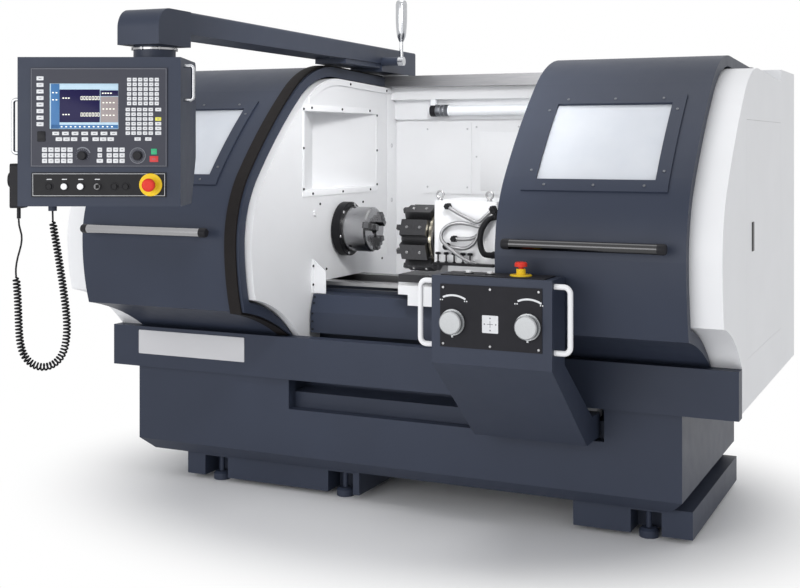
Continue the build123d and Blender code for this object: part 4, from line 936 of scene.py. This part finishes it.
# Pendant: lever grip, neck ring, screen, membrane keys, dial scales and switch rings

gripSet = {
    "above": 2150.0, "rise": (2072.0, 2276.8), "sides": 32,
    "profile": (
        (11.0, 0.0), (14.0, 0.03), (21.5, 0.12), (24.0, 0.2), (27.0, 0.36), (28.5, 0.52), (28.5, 0.9),
        (26.5, 0.955), (22.0, 0.99), (13.5, 1.0), (0.0, 1.0),
    ),
}


def leverGrip():
    # A turned chrome grip round the lever's stalk: a swelling profile of radius over height
    corners = cornersOf(nodes["clamp_lever"].data)
    top = corners[corners[:, 2] > gripSet["above"] * mm]
    middle = (top.min(0) + top.max(0)) / 2
    low, high = gripSet["rise"]
    profile = [(radius, share * (high - low)) for radius, share in gripSet["profile"]]
    place = placeAt((middle[0], middle[1], low * mm), (1, 0, 0), (0, 0, 1))
    addPiece("leverGrip", [revolved(place, profile, gripSet["sides"])], "brightChrome", "clamp_lever")


neckSet = {
    "start": 400.0, "bolts": 8, "first": 22.5, "height": 9.0, "thick": 5.0, "drop": 6.0, "radius": 6.0,
    "overlap": 0.5, "boltShare": 0.4,
}


def neckRing():
    # A steel ring round the swivel neck under the arm's head, with bolts in its rim
    height, thick = neckSet["height"], neckSet["thick"]
    foot = swivelFoot + point(0, 0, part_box("arm_head")[0][2] / mm - neckSet["drop"] - height)
    neck = seated("pendant_case", foot + pendantOut * neckSet["start"] * mm, pendantIn)
    reach = float(np.linalg.norm((neck[0] - swivelPoint)[:2])) / mm
    base = placeAt(foot, pendantSide, (0, 0, 1))
    shapes = [ringOf(base, reach - neckSet["overlap"], reach + thick, height)]
    for c, s in around(neckSet["first"], neckSet["bolts"]):
        way = c * base[1][0] + s * base[1][1]
        spot = foot + way * (reach + thick) * mm + point(0, 0, height * neckSet["boltShare"])
        shapes.append(screwHead(placeAt(spot, (0, 0, 1), way), neckSet["radius"]))
    addPiece("neckRing", shapes, "screwSteel", "pendant")


faceSet = {"feed": (-57.0, 345.0), "spindle": (136.0, 345.0), "lift": 5.0, "ink": 0.5}


def onSheet(x, drop, lift=0.0):
    # A place on the pendant's face sheets, in millimetres from its middle line, its top edge and the sheets
    feedX, feedDrop = faceSet["feed"]
    out = pendantOut * (faceSet["lift"] + lift)
    way = pendantSide * (x - feedX) - np.array([0, 0, drop - feedDrop]) + out
    return placeAt(feedPoint + way * mm, pendantSide, pendantOut)


def evenSteps(start, step, count):
    return [start + step * k for k in range(count)]


keySet = {
    "depth": 1.0, "corner": 1.5, "edge": 0.3, "markShare": 0.42, "mark": (2.2, 0.25, 0.4, 0.1),
    "blocks": (
        ("whiteKey", (14.6, 12.8), (106.5, 19.3, 6), (79.5, 16.6, 6)),
        ("whiteKey", (15.6, 12.2), (102.0, 20.0, 5), (184.0, 16.5, 6)),
        ("whiteKey", (21.0, 12.2), (208.0, 1.0, 1), (184.0, 1.0, 1)),
        ("whiteKey", (21.0, 12.2), (208.0, 1.0, 1), (233.5, 16.5, 3)),
        ("whiteKey", (22.0, 12.0), (136.0, 37.4, 2), (287.0, 1.0, 1)),
        ("whiteKey", (23.5, 12.0), (-150.0, 33.7, 7), (267.5, 1.0, 1)),
        ("whiteKey", (22.5, 13.0), (-139.0, 26.5, 3), (287.5, 1.0, 1)),
        ("whiteKey", (22.5, 13.0), (-48.0, 1.0, 1), (287.5, 1.0, 1)),
        ("whiteKey", (22.5, 13.0), (-10.5, 26.2, 3), (287.5, 1.0, 1)),
        ("whiteKey", (24.5, 14.0), (-205.0, 1.0, 1), (75.0, 22.9, 8)),
        ("whiteKey", (18.0, 15.5), (-189.0, 22.2, 5), (324.5, 19.4, 3)),
        ("whiteKey", (15.5, 14.5), (4.0, 1.0, 1), (324.5, 19.4, 2)),
        ("whiteKey", (22.0, 13.5), (4.0, 1.0, 1), (363.3, 1.0, 1)),
        ("whiteKey", (18.0, 15.0), (37.0, 22.4, 3), (324.5, 19.4, 3)),
        ("keyYellow", (21.0, 12.2), (208.0, 1.0, 1), (217.0, 1.0, 1)),
        ("keyGreen", (20.0, 20.0), (193.0, 1.0, 1), (331.0, 1.0, 1)),
        ("keyRed", (30.0, 21.0), (193.0, 1.0, 1), (357.0, 1.0, 1)),
    ),
}


def membraneKeys():
    # Blocks of low keys: finish, size, then first place, step and count across and down;
    # every key has a short printed bar on its top
    groups, marks, depth = {}, [], keySet["depth"]
    for tone, (width, height), across, down in keySet["blocks"]:
        for x in evenSteps(*across):
            for drop in evenSteps(*down):
                place = onSheet(x, drop)
                key = plate(place, width, height, depth, keySet["corner"], keySet["edge"])
                groups.setdefault(tone, []).append(key)
                marks.append(plate(moved(place, z=depth), width * keySet["markShare"], *keySet["mark"]))
    for tone, shapes in groups.items():
        addPiece("keys" + tone[0].upper() + tone[1:], shapes, tone, "pendant")
    addPiece("keyMarks", marks, "greyInk", "pendant")


screenSet = {
    "lift": 3.0, "corner": 1.0, "edge": 0.1, "rise": 0.8, "figure": 0.3,
    "fields": (
        ("screenPale", -52.0, 172.5, 240.0, 159.0, 0.3), ("screenBlue", -152.7, 172.5, 30.0, 157.0, 0.6),
        ("screenPale", -33.0, 103.7, 200.0, 18.0, 0.9), ("screenNavy", -67.0, 171.4, 141.0, 115.0, 0.6),
        ("screenNavy", 36.5, 127.0, 62.0, 20.0, 0.6), ("screenGrey", 36.5, 183.7, 62.0, 90.0, 0.6),
        ("screenBlue", -50.0, 244.0, 234.0, 13.0, 0.6),
    ),
    "digitRows": ((-60.0, 144.0, 7), (-60.0, 201.5, 7)), "digitStep": 9.8, "digitSize": (7.0, 13.0),
    "digitBar": 0.24, "smallSize": (6.0, 4.0), "smallCorner": 0.5,
    "smallRows": (
        (-124.0, 144.0, 3, 9.5), (-124.0, 201.5, 3, 9.5), (14.0, 127.0, 4, 9.5), (16.0, 160.0, 4, 12.0),
        (16.0, 182.0, 4, 12.0), (16.0, 204.0, 4, 12.0), (-160.0, 125.0, 2, 12.0), (-160.0, 150.0, 2, 12.0),
        (-130.0, 244.0, 12, 16.0),
    ),
}


def screenFields():
    # Thin fields of colour on the screen, and over them rows of open boxes and short bars
    groups, figures = {}, []
    sink, edge, thick = screenSet["lift"] - faceSet["lift"], screenSet["edge"], screenSet["figure"]
    for tone, x, drop, width, height, depth in screenSet["fields"]:
        field = plate(onSheet(x, drop, sink), width, height, depth, screenSet["corner"], edge)
        groups.setdefault(tone, []).append(field)
    for tone, shapes in groups.items():
        addPiece(tone + "Field", shapes, tone, "pendant")
    over = sink + screenSet["rise"]
    width, height = screenSet["digitSize"]
    bar = width * screenSet["digitBar"]
    sides = [(s * (width - bar) / 2, 0, bar, height) for s in (-1, 1)]
    sides += [(0, s * (height - bar) / 2, width, bar) for s in (-1, 1)]
    for start, drop, count in screenSet["digitRows"]:
        for x in evenSteps(start, screenSet["digitStep"], count):
            place = onSheet(x, drop, over)
            figures += [plate(moved(place, dx, dy), w, h, thick, bar / 3, edge) for dx, dy, w, h in sides]
    small = (*screenSet["smallSize"], thick, screenSet["smallCorner"], edge)
    for start, drop, count, step in screenSet["smallRows"]:
        figures += [plate(onSheet(x, drop, over), *small) for x in evenSteps(start, step, count)]
    addPiece("screenFigures", figures, "screenInk", "pendant")


dialSet = {
    "feedScale": (20.0, 24.0, -30.0, 210.0, 14), "spindleScale": (19.0, 25.0, 0.0, 348.0, 30),
    "feedArc": (28.0, 4.0, 20.0, 130.0), "feedSteps": 44, "spindleArc": (27.0, 2.0, 0.0, 359.0),
    "spindleSteps": 60, "tick": 1.2, "corner": 0.4, "edge": 0.1,
}


def dialScale(dial):
    # Ticks round a dial, set out by even angles
    inner, outer, start, end, count = dialSet[dial + "Scale"]
    size = (outer - inner, dialSet["tick"], faceSet["ink"], dialSet["corner"], dialSet["edge"])
    middle = onSheet(*faceSet[dial])
    turns = np.linspace(start, end, count)
    return [plate(moved(turned(middle, turn), (inner + outer) / 2), *size) for turn in turns]


def dialArc(dial):
    return arcBand(onSheet(*faceSet[dial]), *dialSet[dial + "Arc"], faceSet["ink"], dialSet[dial + "Steps"])


trimSet = {
    "rims": (("paleInk", 0.0, 211.5, 472.0, 341.0, 1.2), ("whiteInk", 0.0, 447.0, 462.0, 78.0, 1.4)),
    "rimCorner": 0.3, "flap": (-200.5, 278.0), "flapSize": (28.0, 36.0, 3.0, 3.0, 1.0),
    "lip": (0.0, -10.08, 3.0), "lipSize": (14.0, 4.0, 1.5, 1.0, 0.5),
    "ringX": (-173.0, -120.0, -63.0, -5.0, 55.0, 95.0), "ringDrop": 453.0, "ring": (12.0, 15.0, 2.0),
    "labels": 4, "labelRise": 25.0, "labelSize": (18.0, 3.0), "labelEdge": (1.0, 0.1),
}


def outlineBars(x, drop, width, height, bar):
    # Four thin bars round a rectangle
    dx, dy = (width - bar) / 2, (height - bar) / 2
    bars = [(onSheet(x, drop + s * dy), width, bar) for s in (-1, 1)]
    bars += [(onSheet(x + s * dx, drop), bar, height - 2 * bar) for s in (-1, 1)]
    return [inkMark(*values, faceSet["ink"], trimSet["rimCorner"]) for values in bars]


def panelMarks():
    # Rims round both sheets, scales and arcs round the dials, a flap with its lip, switch rings and labels
    for tone, *rim in trimSet["rims"]:
        addPiece(tone + "Rim", outlineBars(*rim), tone, "pendant")
    shapes = dialScale("feed") + dialScale("spindle") + [dialArc("spindle"), dialArc("feed")]
    addPiece("panelMarks", shapes, "paleInk", "pendant")
    flap = onSheet(*trimSet["flap"])
    shapes = [plate(flap, *trimSet["flapSize"]), plate(moved(flap, *trimSet["lip"]), *trimSet["lipSize"])]
    xs, drop = trimSet["ringX"], trimSet["ringDrop"]
    shapes += [ringOf(onSheet(x, drop), *trimSet["ring"]) for x in xs]
    addPiece("panelTrim", shapes, "blackPlastic", "pendant")
    size = (*trimSet["labelSize"], faceSet["ink"], *trimSet["labelEdge"])
    labels = [plate(onSheet(x, drop - trimSet["labelRise"]), *size) for x in xs[:trimSet["labels"]]]
    addPiece("switchLabels", labels, "whiteInk", "pendant")


leverGrip()
neckRing()
membraneKeys()
screenFields()
panelMarks()
print("pendant face made")


# Light, floor and background

lightSet = {
    "keyLamp": {"place": (-1.2, -7.0, 2.0), "target": (0, 0, 1.0), "size": (5.0, 3.0), "power": 155.0},
    "fillLamp": {"place": (4.2, -5.6, 1.6), "target": (0.0, 0, 1.1), "size": (2.5, 2.5), "power": 13.0},
    "topLamp": {"place": (0.1, -0.4, 4.6), "target": (0.1, 0, 0), "size": (3.0, 2.0), "power": 30.0},
    "innerLamp": {"place": (0.9, -1.6, 2.6), "target": (-0.45, 0.1, 1.35), "size": (0.6, 0.4), "power": 6.0,
                  "angle": 70.0},
}


def areaLamp(name, place, target, size, power, angle=180.0):
    data = bpy.data.lights.new(name, "AREA")
    data.shape = "RECTANGLE"
    data.size, data.size_y = size
    data.energy = power
    data.spread = math.radians(angle)
    lamp = bpy.data.objects.new(name, data)
    lamp.location = place
    way = Vector(target) - Vector(place)
    lamp.rotation_euler = way.to_track_quat("-Z", "Y").to_euler()
    bpy.context.scene.collection.objects.link(lamp)


for lampName, lampValues in lightSet.items():
    areaLamp(lampName, **lampValues)


def rayShare(tree):
    # One for rays that see the background: from the camera, by reflection or through glass
    path = tree.nodes.new("ShaderNodeLightPath")
    share = path.outputs["Is Camera Ray"]
    for ray in ("Is Glossy Ray", "Is Transmission Ray"):
        larger = addNode(tree, "Math", {}, {0: share, 1: path.outputs[ray]})
        larger.operation = "MAXIMUM"
        share = larger.outputs[0]
    return share


worldSet = {"soft": (0.97, 0.98, 1.0, 1), "softStrength": 0.66, "seen": (1, 1, 1, 1), "seenStrength": 1.0}


def makeWorld():
    # Soft light from all round, and plain white where the background itself is seen
    world = bpy.data.worlds.new("studio")
    bpy.context.scene.world = world
    world.use_nodes = True
    tree = world.node_tree
    tree.nodes.clear()
    soft = addNode(tree, "Background", {"Color": worldSet["soft"], "Strength": worldSet["softStrength"]}, {})
    seen = addNode(tree, "Background", {"Color": worldSet["seen"], "Strength": worldSet["seenStrength"]}, {})
    mix = addNode(tree, "MixShader", {}, {"Fac": rayShare(tree), 1: soft.outputs[0], 2: seen.outputs[0]})
    addNode(tree, "OutputWorld", {}, {"Surface": mix.outputs[0]})


floorSet = {
    "half": 30.0, "height": -0.0005, "fade": (1.2, 2.1), "stretch": (1.0, 1.3, 1.0),
    "color": (0.95, 0.95, 0.955, 1), "rough": 0.7, "glow": (1, 1, 1, 1), "glowStrength": 1.0,
}


def makeFloor():
    # A wide flat square that keeps the shadow near the machine and turns plain white further out
    half = floorSet["half"]
    mesh = bpy.data.meshes.new("floor")
    corners = [(-half, -half, 0), (half, -half, 0), (half, half, 0), (-half, half, 0)]
    mesh.from_pydata(corners, [], [(0, 1, 2, 3)])
    floor = bpy.data.objects.new("floor", mesh)
    floor.location = (0, 0, floorSet["height"])
    bpy.context.scene.collection.objects.link(floor)
    material, tree, shader, coords = newMaterial("floorWhite")
    setSockets(shader, {"Base Color": floorSet["color"], "Roughness": floorSet["rough"]})
    oval = addNode(tree, "Mapping", {"Scale": floorSet["stretch"]}, {"Vector": coords})
    reach = addNode(tree, "VectorMath", {}, {0: oval.outputs["Vector"]})
    reach.operation = "LENGTH"
    limits = {"From Min": floorSet["fade"][0], "From Max": floorSet["fade"][1]}
    fade = addNode(tree, "MapRange", limits, {"Value": reach.outputs["Value"]})
    fade.interpolation_type = "SMOOTHSTEP"
    share = addNode(tree, "Math", {}, {0: rayShare(tree), 1: fade.outputs["Result"]})
    share.operation = "MULTIPLY"
    glow = addNode(tree, "Emission", {"Color": floorSet["glow"], "Strength": floorSet["glowStrength"]}, {})
    mix = addNode(tree, "MixShader", {}, {"Fac": share.outputs[0], 1: shader.outputs[0], 2: glow.outputs[0]})
    tree.links.new(mix.outputs[0], tree.nodes["Material Output"].inputs["Surface"])
    mesh.materials.append(material)


makeWorld()
makeFloor()
bpy.context.scene.view_settings.view_transform = "Standard"
print("stage set")
